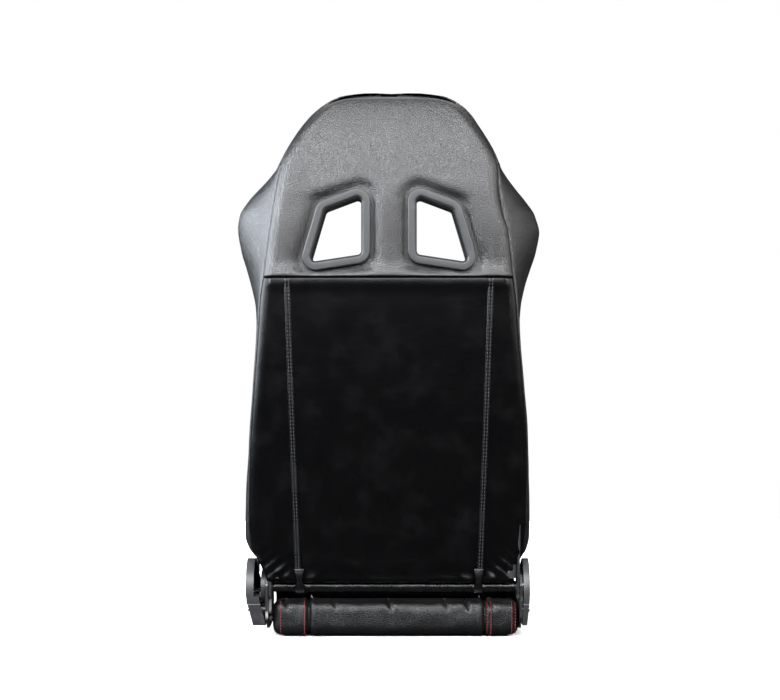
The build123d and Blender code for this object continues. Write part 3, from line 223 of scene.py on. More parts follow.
def worn_group():
    """Fine orange peel or brushing with slow patches, for plastics and metals."""
    g = bpy.data.node_groups.new("SurfaceWear", "ShaderNodeTree")
    socket(g, "Base", "NodeSocketColor", "INPUT", (0.02, 0.02, 0.02, 1))
    socket(g, "Worn", "NodeSocketColor", "INPUT", (0.06, 0.06, 0.06, 1))
    socket(g, "Wear", "NodeSocketFloat", "INPUT", 0.3)
    socket(g, "Roughness", "NodeSocketFloat", "INPUT", 0.4)
    socket(g, "Texture scale", "NodeSocketFloat", "INPUT", 900.0)
    socket(g, "Texture depth", "NodeSocketFloat", "INPUT", 0.15)
    socket(g, "Color", "NodeSocketColor", "OUTPUT")
    socket(g, "Roughness", "NodeSocketFloat", "OUTPUT")
    socket(g, "Normal", "NodeSocketVector", "OUTPUT")
    n_in = g.nodes.new("NodeGroupInput")
    n_out = g.nodes.new("NodeGroupOutput")
    where = g.nodes.new("ShaderNodeTexCoord")
    patch = g.nodes.new("ShaderNodeTexNoise")
    patch.inputs["Scale"].default_value = 38.0
    patch.inputs["Detail"].default_value = 6.0
    link(g, where.outputs["Object"], patch.inputs["Vector"])
    peel = g.nodes.new("ShaderNodeTexNoise")
    link(g, n_in.outputs["Texture scale"], peel.inputs["Scale"])
    link(g, where.outputs["Object"], peel.inputs["Vector"])
    scuff = g.nodes.new("ShaderNodeMapRange")
    scuff.inputs["From Min"].default_value = 0.56
    scuff.inputs["From Max"].default_value = 0.74
    link(g, patch.outputs["Fac"], scuff.inputs["Value"])
    rub = math_node(g, "MULTIPLY", scuff.outputs["Result"], n_in.outputs["Wear"], clamp=True)
    link(g, mix_colour(g, rub, n_in.outputs["Base"], n_in.outputs["Worn"]), n_out.inputs["Color"])
    rough = math_node(g, "ADD", n_in.outputs["Roughness"],
                      math_node(g, "MULTIPLY", math_node(g, "SUBTRACT", patch.outputs["Fac"], 0.5), 0.18),
                      clamp=True)
    link(g, rough, n_out.inputs["Roughness"])
    bump = g.nodes.new("ShaderNodeBump")
    bump.inputs["Distance"].default_value = 0.0003
    link(g, n_in.outputs["Texture depth"], bump.inputs["Strength"])
    link(g, peel.outputs["Fac"], bump.inputs["Height"])
    link(g, bump.outputs["Normal"], n_out.inputs["Normal"])
    return g


GRAIN = leather_group()
WEAR = worn_group()


def material(name, group, values, **plain):
    """A Principled material fed by one of the groups, with its constant values set straight on the shader."""
    m = bpy.data.materials.new(name)
    m.use_nodes = True
    tree = m.node_tree
    shader = tree.nodes["Principled BSDF"]
    node = tree.nodes.new("ShaderNodeGroup")
    node.node_tree = group
    for key, v in values.items():
        node.inputs[key].default_value = v
    link(tree, node.outputs["Color"], shader.inputs["Base Color"])
    link(tree, node.outputs["Roughness"], shader.inputs["Roughness"])
    link(tree, node.outputs["Normal"], shader.inputs["Normal"])
    for key, v in plain.items():
        shader.inputs[key.replace("_", " ")].default_value = v
    return m


VINYL = material("BlackVinyl", GRAIN, {"Gloss roughness": 0.34})
# The lower rear panel's vinyl has a darker base and weaker reflection than the same vinyl elsewhere: painted
# shade on the lower back.
VINYL_REAR_SHADED = material("RearPanelVinylPaintedShade", GRAIN, {"Gloss roughness": 0.24, "Grain depth": 0.22,
                                                "Base": (0.0006, 0.0006, 0.0007, 1)},
                                                Specular_IOR_Level=0.15)
# The rear roll's vinyl reflects more weakly than the same vinyl elsewhere: painted shade on the roll.
VINYL_ROLL_SHADED = material("RollVinylPaintedShade", GRAIN, {"Gloss roughness": 0.36}, Specular_IOR_Level=0.26)
VINYL_SHINY = material("RolledVinyl", GRAIN, {"Gloss roughness": 0.27, "Grain depth": 0.15})
PLASTIC = material("MouldedPlastic", WEAR, {"Base": (0.010, 0.010, 0.011, 1), "Roughness": 0.42,
                                            "Wear": 0.25})
COVER_PLASTIC = material("CoverPlastic", WEAR, {"Base": (0.014, 0.014, 0.015, 1), "Roughness": 0.46,
                                                "Wear": 0.3,
                                                "Texture scale": 1400.0, "Texture depth": 0.3})
RUBBER = material("GripRubber", WEAR, {"Base": (0.012, 0.012, 0.012, 1), "Roughness": 0.6, "Wear": 0.2})
PAINT = material("FramePaint", WEAR, {"Base": (0.012, 0.012, 0.013, 1), "Worn": (0.25, 0.24, 0.22, 1),
                                      "Roughness": 0.36,
                                      "Wear": 0.7})
ZINC = material("ZincPlate", WEAR, {"Base": (0.50, 0.50, 0.48, 1), "Worn": (0.30, 0.28, 0.25, 1),
                                    "Roughness": 0.30,
                                    "Wear": 0.8}, Metallic=1.0)
STEEL = material("SpringSteel", WEAR, {"Base": (0.30, 0.30, 0.31, 1), "Worn": (0.5, 0.5, 0.5, 1),
                                       "Roughness": 0.35,
                                       "Wear": 0.8}, Metallic=1.0)
RED_THREAD = material("RedThread", WEAR, {"Base": (0.16, 0.010, 0.013, 1), "Worn": (0.25, 0.03, 0.03, 1),
                                          "Roughness": 0.55, "Texture scale": 4000.0, "Texture depth": 0.6})
BLACK_THREAD = material("BlackThread", WEAR, {"Base": (0.020, 0.020, 0.022, 1), "Worn": (0.06, 0.06, 0.06,
                                                                                         1),
                                              "Roughness": 0.5, "Texture scale": 4000.0,
                                              "Texture depth": 0.6})
# Near-black cloth for the cushion's foam core: painted shade where the core shows through the gaps.
CORE_CLOTH_PAINTED_SHADE = material("CoreClothPaintedShade", WEAR, {"Base": (0.006, 0.006, 0.006, 1), "Worn": (0.02, 0.02, 0.02, 1),
                                      "Roughness": 0.9,
                                      "Texture scale": 600.0, "Texture depth": 0.8})
PHOSPHATE = material("PhosphatedSteel", WEAR, {"Base": (0.035, 0.035, 0.037, 1), "Worn": (0.12, 0.11, 0.10,
                                                                                          1),
                                               "Roughness": 0.45, "Wear": 0.6}, Metallic=0.6)

# ---------------------------------------------------------------- mesh helpers


def mesh_object(name, verts, faces, mat, shade=True):
    mesh = bpy.data.meshes.new(name)
    mesh.from_pydata([tuple(v) for v in verts], [], faces)
    mesh.materials.append(mat)
    mesh.validate()
    if shade:
        mesh.shade_smooth()
    obj = bpy.data.objects.new(name, mesh)
    bpy.context.scene.collection.objects.link(obj)
    return obj


def outward(obj):
    bm = bmesh.new()
    bm.from_mesh(obj.data)
    bmesh.ops.remove_doubles(bm, verts=bm.verts, dist=1e-6)
    bmesh.ops.recalc_face_normals(bm, faces=bm.faces)
    bm.to_mesh(obj.data)
    bm.free()
    return obj


def apply_modifiers(obj):
    deps = bpy.context.evaluated_depsgraph_get()
    new = bpy.data.meshes.new_from_object(obj.evaluated_get(deps))
    obj.modifiers.clear()
    old = obj.data
    obj.data = new
    bpy.data.meshes.remove(old)
    return obj


def loft(name, rings, mat):
    """A closed skin over closed rings of equal length, with each end drawn together in a point."""
    rings = np.asarray(rings)
    n, k = rings.shape[:2]
    verts = list(rings.reshape(-1, 3)) + [rings[0].mean(axis=0), rings[-1].mean(axis=0)]
    faces = []
    for i in range(n - 1):
        for j in range(k):
            a, b = i * k + j, i * k + (j + 1) % k
            faces.append((a, b, b + k, a + k))
    for j in range(k):
        faces.append((n * k, (j + 1) % k, j))
        faces.append((n * k + 1, (n - 1) * k + j, (n - 1) * k + (j + 1) % k))
    return outward(mesh_object(name, verts, faces, mat))


def sheet_grid(name, points, mat, keep=None, thickness=COVER, facing=(0, 1, 0)):
    """A grid of points made a closed skin of some thickness on the side away from facing."""
    points = np.asarray(points)
    rows, cols = points.shape[:2]
    faces = []
    for i in range(rows - 1):
        for j in range(cols - 1):
            if keep is None or keep[i, j]:
                a = i * cols + j
                faces.append((a, a + 1, a + cols + 1, a + cols))
    obj = mesh_object(name, points.reshape(-1, 3), faces, mat)
    bm = bmesh.new()
    bm.from_mesh(obj.data)
    bmesh.ops.delete(bm, geom=[v for v in bm.verts if not v.link_faces], context="VERTS")
    total = Vector((0, 0, 0))
    for f in bm.faces:
        total += f.normal * f.calc_area()
    if total.dot(Vector(facing)) < 0:
        bmesh.ops.reverse_faces(bm, faces=bm.faces)
    bm.to_mesh(obj.data)
    bm.free()
    solid = obj.modifiers.new("Thickness", "SOLIDIFY")
    solid.thickness = thickness
    solid.offset = -1.0
    apply_modifiers(obj)
    return obj


def catmull(points, samples):
    """A smooth open curve through points (n, 2 or 3), with samples points in all, evenly spaced by chord."""
    p = np.asarray(points, float)
    ext = np.vstack([2 * p[0] - p[1], p, 2 * p[-1] - p[-2]])
    out = []
    for i in range(1, len(ext) - 2):
        p0, p1, p2, p3 = ext[i - 1], ext[i], ext[i + 1], ext[i + 2]
        for t in np.linspace(0, 1, 16, endpoint=False):
            out.append(0.5 * (2 * p1 + (p2 - p0) * t + (2 * p0 - 5 * p1 + 4 * p2 - p3) * t**2
                              + (3 * p1 - p0 - 3 * p2 + p3) * t**3))
    out = np.array(out + [p[-1]])
    d = np.concatenate([[0], np.cumsum(np.linalg.norm(np.diff(out, axis=0), axis=1))])
    s = np.linspace(0, d[-1], samples)
    return np.stack([np.interp(s, d, out[:, c]) for c in range(out.shape[1])], axis=1)


def lip(distance, radius, depth):
    """How far a panel dips at a given distance from its seam, in a quarter round."""
    t = np.clip(1 - np.asarray(distance) / radius, 0, 1)
    return depth * (1 - np.sqrt(np.maximum(0.0, 1 - t**2)))


def ripple(x, y, z, scale, seed=0.0):
    """Smooth noise between -1 and 1 over arrays of positions in metres."""
    out = np.empty(np.shape(x))
    flat = out.reshape(-1)
    for i, (a, b, c) in enumerate(zip(np.ravel(x), np.ravel(y), np.ravel(z))):
        flat[i] = noise.noise(Vector((a * scale[0] + seed, b * scale[1], c * scale[2])))
    return out


# ---------------------------------------------------------------- stitches along a line


def stitch_tree():
    """Thread stitches of one length laid end to end along a line, a gap between each two."""
    t = bpy.data.node_groups.new("StitchRow", "GeometryNodeTree")
    t.is_modifier = True
    t.interface.new_socket(name="Geometry", in_out="INPUT", socket_type="NodeSocketGeometry")
    for name, value in (("Pitch", 0.006), ("Stitch length", 0.0042), ("Thread radius", 0.0006)):
        t.interface.new_socket(name=name, in_out="INPUT",
                               socket_type="NodeSocketFloat").default_value = value
    t.interface.new_socket(name="Thread", in_out="INPUT", socket_type="NodeSocketMaterial")
    t.interface.new_socket(name="Geometry", in_out="OUTPUT", socket_type="NodeSocketGeometry")
    n = t.nodes
    i, o = n.new("NodeGroupInput"), n.new("NodeGroupOutput")
    curve = n.new("GeometryNodeMeshToCurve")
    points = n.new("GeometryNodeCurveToPoints")
    points.mode = "LENGTH"
    ball = n.new("GeometryNodeMeshUVSphere")
    ball.inputs["Segments"].default_value = 6
    ball.inputs["Rings"].default_value = 5
    ball.inputs["Radius"].default_value = 1.0
    turn = n.new("FunctionNodeAlignRotationToVector")
    turn.axis = "Z"
    size = n.new("ShaderNodeCombineXYZ")
    half = n.new("ShaderNodeMath")
    half.operation = "MULTIPLY"
    half.inputs[1].default_value = 0.5
    put = n.new("GeometryNodeInstanceOnPoints")
    real = n.new("GeometryNodeRealizeInstances")
    paint = n.new("GeometryNodeSetMaterial")
    L = t.links.new
    L(i.outputs["Geometry"], curve.inputs["Mesh"])
    L(curve.outputs["Curve"], points.inputs["Curve"])
    L(i.outputs["Pitch"], points.inputs["Length"])
    L(points.outputs["Points"], put.inputs["Points"])
    L(points.outputs["Tangent"], turn.inputs["Vector"])
    L(turn.outputs["Rotation"], put.inputs["Rotation"])
    L(ball.outputs["Mesh"], put.inputs["Instance"])
    L(i.outputs["Thread radius"], size.inputs["X"])
    L(i.outputs["Thread radius"], size.inputs["Y"])
    L(i.outputs["Stitch length"], half.inputs[0])
    L(half.outputs[0], size.inputs["Z"])
    L(size.outputs["Vector"], put.inputs["Scale"])
    L(put.outputs["Instances"], real.inputs["Geometry"])
    L(real.outputs["Geometry"], paint.inputs["Geometry"])
    L(i.outputs["Thread"], paint.inputs["Material"])
    L(paint.outputs["Geometry"], o.inputs["Geometry"])
    return t


STITCHES = stitch_tree()


def stitch_rows(name, lines, thread, body, pitch=0.006, length=0.0042, radius=0.0006):
    """Rows of stitches along several lines, as one mesh that rides on a body."""
    verts, edges = [], []
    for line in lines:
        start = len(verts)
        verts += [tuple(p) for p in line]
        edges += [(start + i, start + i + 1) for i in range(len(line) - 1)]
    mesh = bpy.data.meshes.new(name)
    mesh.from_pydata(verts, edges, [])
    obj = bpy.data.objects.new(name, mesh)
    bpy.context.scene.collection.objects.link(obj)
    mod = obj.modifiers.new("Stitches", "NODES")
    mod.node_group = STITCHES
    ids = {s.name: s.identifier for s in STITCHES.interface.items_tree if s.in_out == "INPUT"}
    mod[ids["Pitch"]] = pitch
    mod[ids["Stitch length"]] = length
    mod[ids["Thread radius"]] = radius
    mod[ids["Thread"]] = thread
    apply_modifiers(obj)
    obj.data.shade_smooth()
    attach(obj, body)
    return obj


# ---------------------------------------------------------------- backrest: rear panels
EDGE_R = 0.020
SLOT_OUTLINE = [(0.031, 0.813), (0.118, 0.774), (0.153, 0.634), (0.031, 0.656)]


def slot_corners(side, inward=0.0):
    """The four corners of a harness slot's outline, drawn in by inward."""
    pts = [Vector((CENTRE_X + side * x, PIVOT.z + l * BACK_LENGTH)) for x, l in SLOT_OUTLINE]
    centre = sum(pts, Vector((0, 0))) / 4
    lines = []
    for a, b in zip(pts, pts[1:] + pts[:1]):
        d = (b - a).normalized()
        n = Vector((-d.y, d.x))
        if n.dot(centre - a) < 0:
            n = -n
        lines.append((a + n * inward, d))
    out = []
    for (a, d), (b, e) in zip(lines[-1:] + lines[:-1], lines):
        t = ((b - a).x * e.y - (b - a).y * e.x) / (d.x * e.y - d.y * e.x)
        out.append(a + d * t)
    return out


def rounded_loop(corners, radius, steps=8):
    """The corners' outline with rounded corners, as points in order."""
    out = []
    n = len(corners)
    for i, c in enumerate(corners):
        a, b = (corners[i - 1] - c).normalized(), (corners[(i + 1) % n] - c).normalized()
        half = a.angle(b) / 2
        cut = radius / np.tan(half)
        mid = c + (a + b).normalized() * (radius / sin(half))
        start, stop = c + a * cut - mid, c + b * cut - mid
        a0, a1 = atan2(start.y, start.x), atan2(stop.y, stop.x)
        while a1 - a0 > pi:
            a1 -= 2 * pi
        while a1 - a0 < -pi:
            a1 += 2 * pi
        out += [mid + Vector((cos(a0 + (a1 - a0) * k / steps), sin(a0 + (a1 - a0) * k / steps))) * radius
                for k in range(steps + 1)]
    return out


ROUND = 0.018


def slot_distance(x, z):
    """Distance to the nearest slot's rounded outer outline, positive outside it."""
    best = np.full(np.shape(x), 9.0)
    for side in (-1, 1):
        pts = slot_corners(side, ROUND)
        centre = sum(pts, Vector((0, 0))) / 4
        nearest = np.full(np.shape(x), 9.0)
        depth = np.full(np.shape(x), -9.0)
        for a, b in zip(pts, pts[1:] + pts[:1]):
            d = b - a
            t = np.clip(((x - a.x) * d.x + (z - a.y) * d.y) / d.length_squared, 0, 1)
            nearest = np.minimum(nearest, np.hypot(x - a.x - t * d.x, z - a.y - t * d.y))
            n = Vector((-d.y, d.x)).normalized()
            if n.dot(centre - a) > 0:
                n = -n
            depth = np.maximum(depth, (x - a.x) * n.x + (z - a.y) * n.y)
        best = np.minimum(best, np.where(depth < 0, depth, nearest) - ROUND)
    return best


def cross_section(z, half, rear, columns):
    """One row of a rear panel: flat across the middle, rounded forward at both sides, its edges tucked in."""
    flat = np.linspace(-1, 1, columns)
    upper = min(1.0, max(0.0, (z - 0.105) / 0.055))
    r = min(0.006 + (EDGE_R - 0.006) * upper, half * 0.45)
    xs = list(flat * (half - r))
    ys = list(rear - 0.0035 * flat**2 * np.minimum(1, half / 0.2))
    base = ys[-1]
    arc_x, arc_y = [], []
    for k in range(1, 9):
        a = k / 8 * pi / 2
        arc_x.append(half - r + r * sin(a))
        arc_y.append(base - r * (1 - cos(a)))
    arc_x += [half - 0.0005, half - 0.003, half - 0.009]
    arc_y += [base - r - depth * (0.3 + 0.7 * upper) for depth in (0.003, 0.006, 0.009)]
    xs = [-v for v in reversed(arc_x)] + xs + arc_x
    ys = list(reversed(arc_y)) + ys + arc_y
    return uneven(np.array(xs), half, z), np.array(ys)


def rear_panel(name, z_low, z_high, rows, columns, low_lip, high_lip, node_names, crease, mat):
    levels = np.linspace(z_low, z_high, rows)
    grid = np.empty((rows, columns + 22, 3))
    for i, z in enumerate(levels):
        xs, ys = cross_section(z, float(seam_line(z)), float(rear_line(z)), columns)
        grid[i, :, 0] = CENTRE_X + xs
        grid[i, :, 1] = PIVOT.y + ys
        grid[i, :, 2] = z
    crease(grid)
    grid[:, :, 1] -= lip(grid[:, :, 2] - z_low, low_lip, low_lip)
    grid[:, :, 1] -= lip(z_high - grid[:, :, 2], high_lip, high_lip)
    mid_x = (grid[:-1, :-1, 0] + grid[1:, 1:, 0]) / 2
    mid_z = (grid[:-1, :-1, 2] + grid[1:, 1:, 2]) / 2
    keep = slot_distance(mid_x, mid_z) > -0.009
    obj = sheet_grid(name, grid, mat, keep)
    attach(obj, "backrest")
    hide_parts(*node_names)
    return obj


def upper_crease(grid):
    """Stretched vinyl: drawn in towards each slot's trim, and full along the cross seam."""
    x, z = grid[:, :, 0], grid[:, :, 2]
    d = np.maximum(slot_distance(x, z), 0)
    grid[:, :, 1] -= 0.0062 * np.exp(-((d / 0.014) ** 2))
    grid[:, :, 1] += 0.0012 * ripple(x, x * 0, z, (14, 1, 14), 3.0)
    grid[:, :, 1] += np.exp(-(((z - SEAM_Z - 0.003) / 0.013) ** 2)) * (0.0042 + 0.0008 * ripple(x, x * 0, z,
                                                                                                (45, 1, 8),
                                                                                                9.0))


def lower_crease(grid):
    """Slack at the hem: shallow hanging folds between the straps, and folds that run to the lower corners."""
    x, z = grid[:, :, 0], grid[:, :, 2]
    low = np.clip(1 - (z - 0.100) / 0.085, 0, 1) ** 1.5
    across = (x - CENTRE_X) / 0.152
    for side in (-1, 1):
        dx = x - (CENTRE_X + side * 0.152)
        fan = dx / (0.016 + 0.9 * np.abs(z - 0.095))
        grid[:, :, 1] -= 0.0042 * low * np.exp(-((fan / 0.5) ** 2))
        grid[:, :, 1] += 0.0022 * low * np.exp(-(((np.abs(fan) - 1.0) / 0.35) ** 2))
        out = (x - CENTRE_X) * side
        corner = np.exp(-(((out - 0.200) / 0.030) ** 2 + ((z - 0.118) / 0.026) ** 2))
        along = out * 0.75 + (z - 0.118) * 0.9
        grid[:, :, 1] += 0.0016 * corner * np.sin(along * 330)
    hang = (z - 0.124 - 0.010 * across**2) / 0.0115
    between = np.clip(1.15 - np.abs(across), 0, 1) ** 0.5
    grid[:, :, 1] += 0.0017 * between * np.exp(-(hang**2)) - 0.0016 * between * np.exp(-(((hang + 1.5)
                                                                                          / 0.8) ** 2))
    grid[:, :, 1] += 0.0022 * low * ripple(x, x * 0, z, (16, 1, 30), 5.0)
    grid[:, :, 1] += 0.0013 * ripple(x, x * 0, z, (9, 1, 5), 7.0)
    grid[:, :, 1] += 0.0016 * np.exp(-(((SEAM_Z - z - 0.010) / 0.012) ** 2))


rear_panel("rear_upper_panel", SEAM_Z, 0.9175, 230, 150, 0.0028, 0.008, ["rear_cover_upper"], upper_crease,
                        VINYL)
rear_panel("rear_lower_panel", 0.0955, SEAM_Z, 260, 130, 0.009, 0.0028, ["rear_cover_lower"], lower_crease,
                        VINYL_REAR_SHADED)

# ---------------------------------------------------------------- backrest: side bolsters and head


def bolster_section(z, side):
    half, seam = float(outline(z)), float(seam_line(z))
    rear, tip, front = float(rear_line(z)), float(tip_line(z)), float(front_line(z))
    inner = min(CORE_HALF, half - 0.045)
    edge = rear - 0.0035 - EDGE_R - 0.006
    mid = tip + 0.45 * (edge - tip)
    outside = [
        (seam - 0.009, edge - 0.004),
        (seam + 0.0015, edge + 0.001),
        (seam + 0.55 * (half - seam) + 0.002, (edge + mid) / 2 + 0.004),
        (half, mid),
        (half - 0.004, (mid + tip) / 2),
        (half - 0.015, tip + 0.008),
        (half - 0.034, tip),
        (inner + 0.030, tip + 0.012),
        (inner + 0.014, (tip + front) / 2 + 0.004),
        (inner + 0.002, front - 0.007),
        (inner - 0.004, front + 0.006),
    ]
    run = catmull(outside, 72)
    if side < 0:
        reach = np.clip((run[:, 0] - inner) / (half - inner), 0, None)
        run[:, 0] += reach * float(lopsided(z))
    inside = np.array([(inner + 0.012, front + 0.026), ((inner + seam) / 2, (front + edge) / 2 + 0.010),
                       (seam - 0.022, edge - 0.012)])
    ring = np.vstack([run, inside])
    return np.stack([CENTRE_X + side * ring[:, 0], PIVOT.y + ring[:, 1], np.full(len(ring), z)], axis=1)


def shrink(ring, share, lift):
    """A copy of a ring drawn towards its middle and moved up, to close a loft roundly."""
    c = ring.mean(axis=0)
    out = c + (ring - c) * share
    out[:, 2] += lift
    return out


BOLSTER_LOW, BOLSTER_HIGH = 0.118, 0.803


def back_bolster(side, word):
    levels = np.linspace(BOLSTER_LOW, BOLSTER_HIGH, 150)
    rings = [bolster_section(z, side) for z in levels]
    for ring in rings:
        x, y, z = ring[:72, 0], ring[:72, 1], ring[:72, 2]
        push = 0.0016 * ripple(x, y, z, (14, 22, 9), 11.0 + side) + 0.0010 * ripple(x, y, z, (40, 50, 16),
                                                                                    2.0 * side)
        ring[:72, 0] += side * push * 0.6
        ring[:72, 1] -= push
    low = [shrink(rings[0], s, -d) for s, d in ((0.90, 0.008), (0.97, 0.004))]
    high = [shrink(rings[-1], s, d) for s, d in ((0.90, 0.003), (0.70, 0.006), (0.4, 0.008))]
    obj = loft(f"back_bolster_{word}", low + rings + high, VINYL)
    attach(obj, "backrest")
    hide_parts(f"back_bolster_cover_{word}", f"back_bolster_foam_{word}")
    return obj


back_bolster(1, "left")
back_bolster(-1, "right")


def head_section(z):
    half, seam, rear = float(outline(z)), float(seam_line(z)), float(rear_line(z))
    half = min(half, seam + 0.005 + 0.8 * max(0.0, z - 0.80))
    edge = rear - 0.0035 - min(EDGE_R, seam * 0.45) - 0.006
    front = float(HEAD_FRONT(z))
    right = [
        (seam - 0.009, edge - 0.004),
        (seam + 0.0012, edge + 0.001),
        (half, edge - 0.4 * max(0.0, edge - front) ),
        (half - 0.006, front + 0.014),
        (half * 0.90 - 0.008, front + 0.002),
        (half * 0.60, front - 0.003),
        (0.0, front - 0.006),
    ]
    run = catmull(right, 44)
    mirror = run[::-1][1:].copy()
    mirror[:, 0] *= -1
    ring = np.vstack([run, mirror, [(-seam * 0.6, edge - 0.012), (0.0, edge - 0.012),
                                    (seam * 0.6, edge - 0.012)]])
    ring[:, 0] = uneven(ring[:, 0], half, z)
    return np.stack([CENTRE_X + ring[:, 0], PIVOT.y + ring[:, 1], np.full(len(ring), z)], axis=1)


HEAD_FRONT = smooth([(0.770, -0.022), (0.790, -0.016), (0.820, -0.002), (0.850, 0.006), (0.880, 0.010),
                     (0.900, 0.014),
                     (0.913, 0.021), (0.922, 0.032), (0.925, 0.036)])


def head_pad():
    levels = np.concatenate([np.linspace(0.776, 0.905, 50), np.linspace(0.907, 0.9235, 14)])
    rings = [head_section(z) for z in levels]
    for ring in rings:
        front = np.abs(ring[:, 0] - CENTRE_X) < 0.13
        ring[:, 1] -= np.where(front, 0.0015 * ripple(ring[:, 0], ring[:, 1], ring[:, 2], (12, 12, 12),
                                                      4.0), 0)
    low = [shrink(rings[0], s, -d) for s, d in ((0.90, 0.006), (0.97, 0.003))]
    high = [shrink(rings[-1], 0.6, 0.001)]
    obj = loft("head_pad", low + rings + high, VINYL)
    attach(obj, "backrest")
    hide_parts("headrest_cover", "headrest_foam")


head_pad()

# ---------------------------------------------------------------- backrest: centre panel
CHANNEL = 0.075  # spacing of the sewn channels


def centre_panel():
    rows, columns = 330, 110
    z = np.linspace(0.120, 0.783, rows)[:, None] * np.ones((1, columns))
    u = np.linspace(-1, 1, columns)[None, :] * np.ones((rows, 1))
    half = CORE_HALF - 0.001
    x = CENTRE_X + u * half
    y = PIVOT.y + front_line(z)
    edge = half * (1 - np.abs(u))
    phase = (z - 0.150) / CHANNEL
    away = np.abs(phase - np.round(phase)) * CHANNEL
    sewn = (z < SEAM_Z - 0.01) & (z > 0.14)
    y += np.where(sewn, lip(away, 0.013, 0.006), 0.0)
    y += lip(edge, 0.016, 0.012)
    y -= 0.006 * (1 - u**2)
    y += np.exp(-((z - SEAM_Z) / 0.004) ** 2) * 0.004
    d = slot_distance(x, z)
    y -= np.where(z > SEAM_Z, 0.002 * np.exp(-((d - 0.014) / 0.012) ** 2) - 0.005
                  * np.exp(-(np.maximum(d, 0) / 0.008) ** 2), 0)
    y += 0.0010 * ripple(x, x * 0, z, (25, 1, 40), 6.0)
    grid = np.stack([x, y, z], axis=2)
    mid_x, mid_z = (x[:-1, :-1] + x[1:, 1:]) / 2, (z[:-1, :-1] + z[1:, 1:]) / 2
    keep = slot_distance(mid_x, mid_z) > -0.009
    obj = sheet_grid("back_centre_panel", grid, VINYL, keep, thickness=0.012, facing=(0, -1, 0))
    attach(obj, "backrest")
    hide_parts("back_centre_cover", "back_centre_foam", "back_rear_pad", "shoulder_foam")


centre_panel()

# ---------------------------------------------------------------- harness trims


def trim(side, word, face, way, joint):
    """A moulded ring with a rounded flange and a sleeve that runs into the slot."""
    profile = [(0.0, -0.0085), (0.0, 0.0016), (0.0002, 0.0026), (0.0009, 0.0033), (0.0014, 0.0036),
               (0.0019, 0.00365), (0.0108, 0.00365),
               (0.0113, 0.0036), (0.0123, 0.0030), (0.0136, 0.0014), (0.0148, 0.0002), (0.0150, -0.0016),
               (0.0150, None), (0.0125, None),
               (0.0125, -0.0085)]
    rings = []
    for inward, rise in profile:
        y = joint if rise is None else face + way * rise
        loop = rounded_loop(slot_corners(side, inward), max(0.006, 0.022 - inward))
        rings.append([(p.x, y, p.y) for p in loop])
    rings = np.array(rings)
    n, k = rings.shape[:2]
    faces = [(i * k + j, i * k + (j + 1) % k, ((i + 1) % n) * k + (j + 1) % k, ((i + 1) % n) * k + j)
             for i in range(n) for j in range(k)]
    end = "rear" if way > 0 else "front"
    obj = outward(mesh_object(f"harness_trim_{end}_{word}", rings.reshape(-1, 3), faces, PLASTIC))
    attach(obj, "backrest")
    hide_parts(f"harness_bezel_{end}_{word}")


TRIM_JOINT = PIVOT.y + 0.061
for trim_side, trim_word in ((1, "left"), (-1, "right")):
    trim(trim_side, trim_word, PIVOT.y + 0.1033, 1, TRIM_JOINT + 0.0002)
    trim(trim_side, trim_word, PIVOT.y + 0.0187, -1, TRIM_JOINT - 0.0002)

# ---------------------------------------------------------------- backrest: seams, straps and rolled hem
STRIP_HALF = 0.005


def rear_y(x, z):
    """The lower rear panel's surface, near enough for what is sewn on it."""
    u = abs(x - CENTRE_X) / (float(seam_line(z)) - EDGE_R)
    return PIVOT.y + float(rear_line(z)) - 0.0035 * u**2


def strip_x(side, z):
    """Centre line of a raised seam: a little nearer the middle at the bottom."""
    t = (SEAM_Z - z) / (SEAM_Z - 0.100)
    return CENTRE_X + side * (0.1695 - 0.0155 * t)


def seam_strip(side):
    rings = []
    for z in np.linspace(0.103, SEAM_Z - 0.002, 160):
        x = strip_x(side, z)
        y = rear_y(x, z)
        w = STRIP_HALF * (1 - 0.45 * max(0.0, 1 - (z - 0.103) / 0.02))
        wave = 0.0004 * sin(z * 900)
        rings.append([(x + dx * w, y + dy + (wave if dy > 0 else 0), z) for dx, dy in
                      ((-1.15, -0.003), (-1.0, 0.0006), (-0.75, 0.0022), (-0.45, 0.0016), (0, 0.0012),
                       (0.45, 0.0016),
                       (0.75, 0.0022), (1.0, 0.0006), (1.15, -0.003))])
    return loft(f"rear_seam_{'left' if side > 0 else 'right'}", rings, VINYL_SHINY)


left_strip = seam_strip(1)
right_strip = seam_strip(-1)
for strip in (left_strip, right_strip):
    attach(strip, "backrest")
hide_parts("rear_seam_strips")
rows = []
for side in (-1, 1):
    for off in (-0.0022, 0.0022):
        rows.append([(strip_x(side, z) + off, rear_y(strip_x(side, z), z) + 0.0018, z)
                     for z in np.linspace(0.110, SEAM_Z - 0.006, 120)])
stitch_rows("rear_seam_stitches", rows, BLACK_THREAD, "backrest", radius=0.0005)


def strap(side):
    """A pinched tab of vinyl that pulls the rear panel's hem down over the bar."""
    x0 = CENTRE_X + side * 0.152
    path = [(0.036, 0.034), (0.0345, 0.022), (0.027, 0.011), (0.0175, 0.004), (0.0120, -0.003),
            (0.0108, -0.010)]
    line = catmull(path, 30)
    rings = []
    for i, (y, z) in enumerate(line):
        t = i / (len(line) - 1)
        w = 0.0078 * (1 - 0.45 * sin(pi * min(1, t * 1.25)) ** 2)
        a, b = line[min(i + 1, len(line) - 1)], line[max(i - 1, 0)]
        d = (a - b) / np.linalg.norm(a - b)
        n = np.array([-d[1], d[0]])
        if n[0] < 0:
            n = -n
        ring = []
        for k in range(16):
            ang = 2 * pi * k / 16
            ring.append((x0 + w * cos(ang), PIVOT.y + y + n[0] * 0.0022 * sin(ang),
                         PIVOT.z + z + n[1] * 0.0022 * sin(ang)))
        rings.append(ring)
    return loft(f"hem_strap_{'left' if side > 0 else 'right'}", rings, VINYL)


straps = [strap(1), strap(-1)]
for s in straps:
    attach(s, "backrest")
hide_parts("hem_straps")


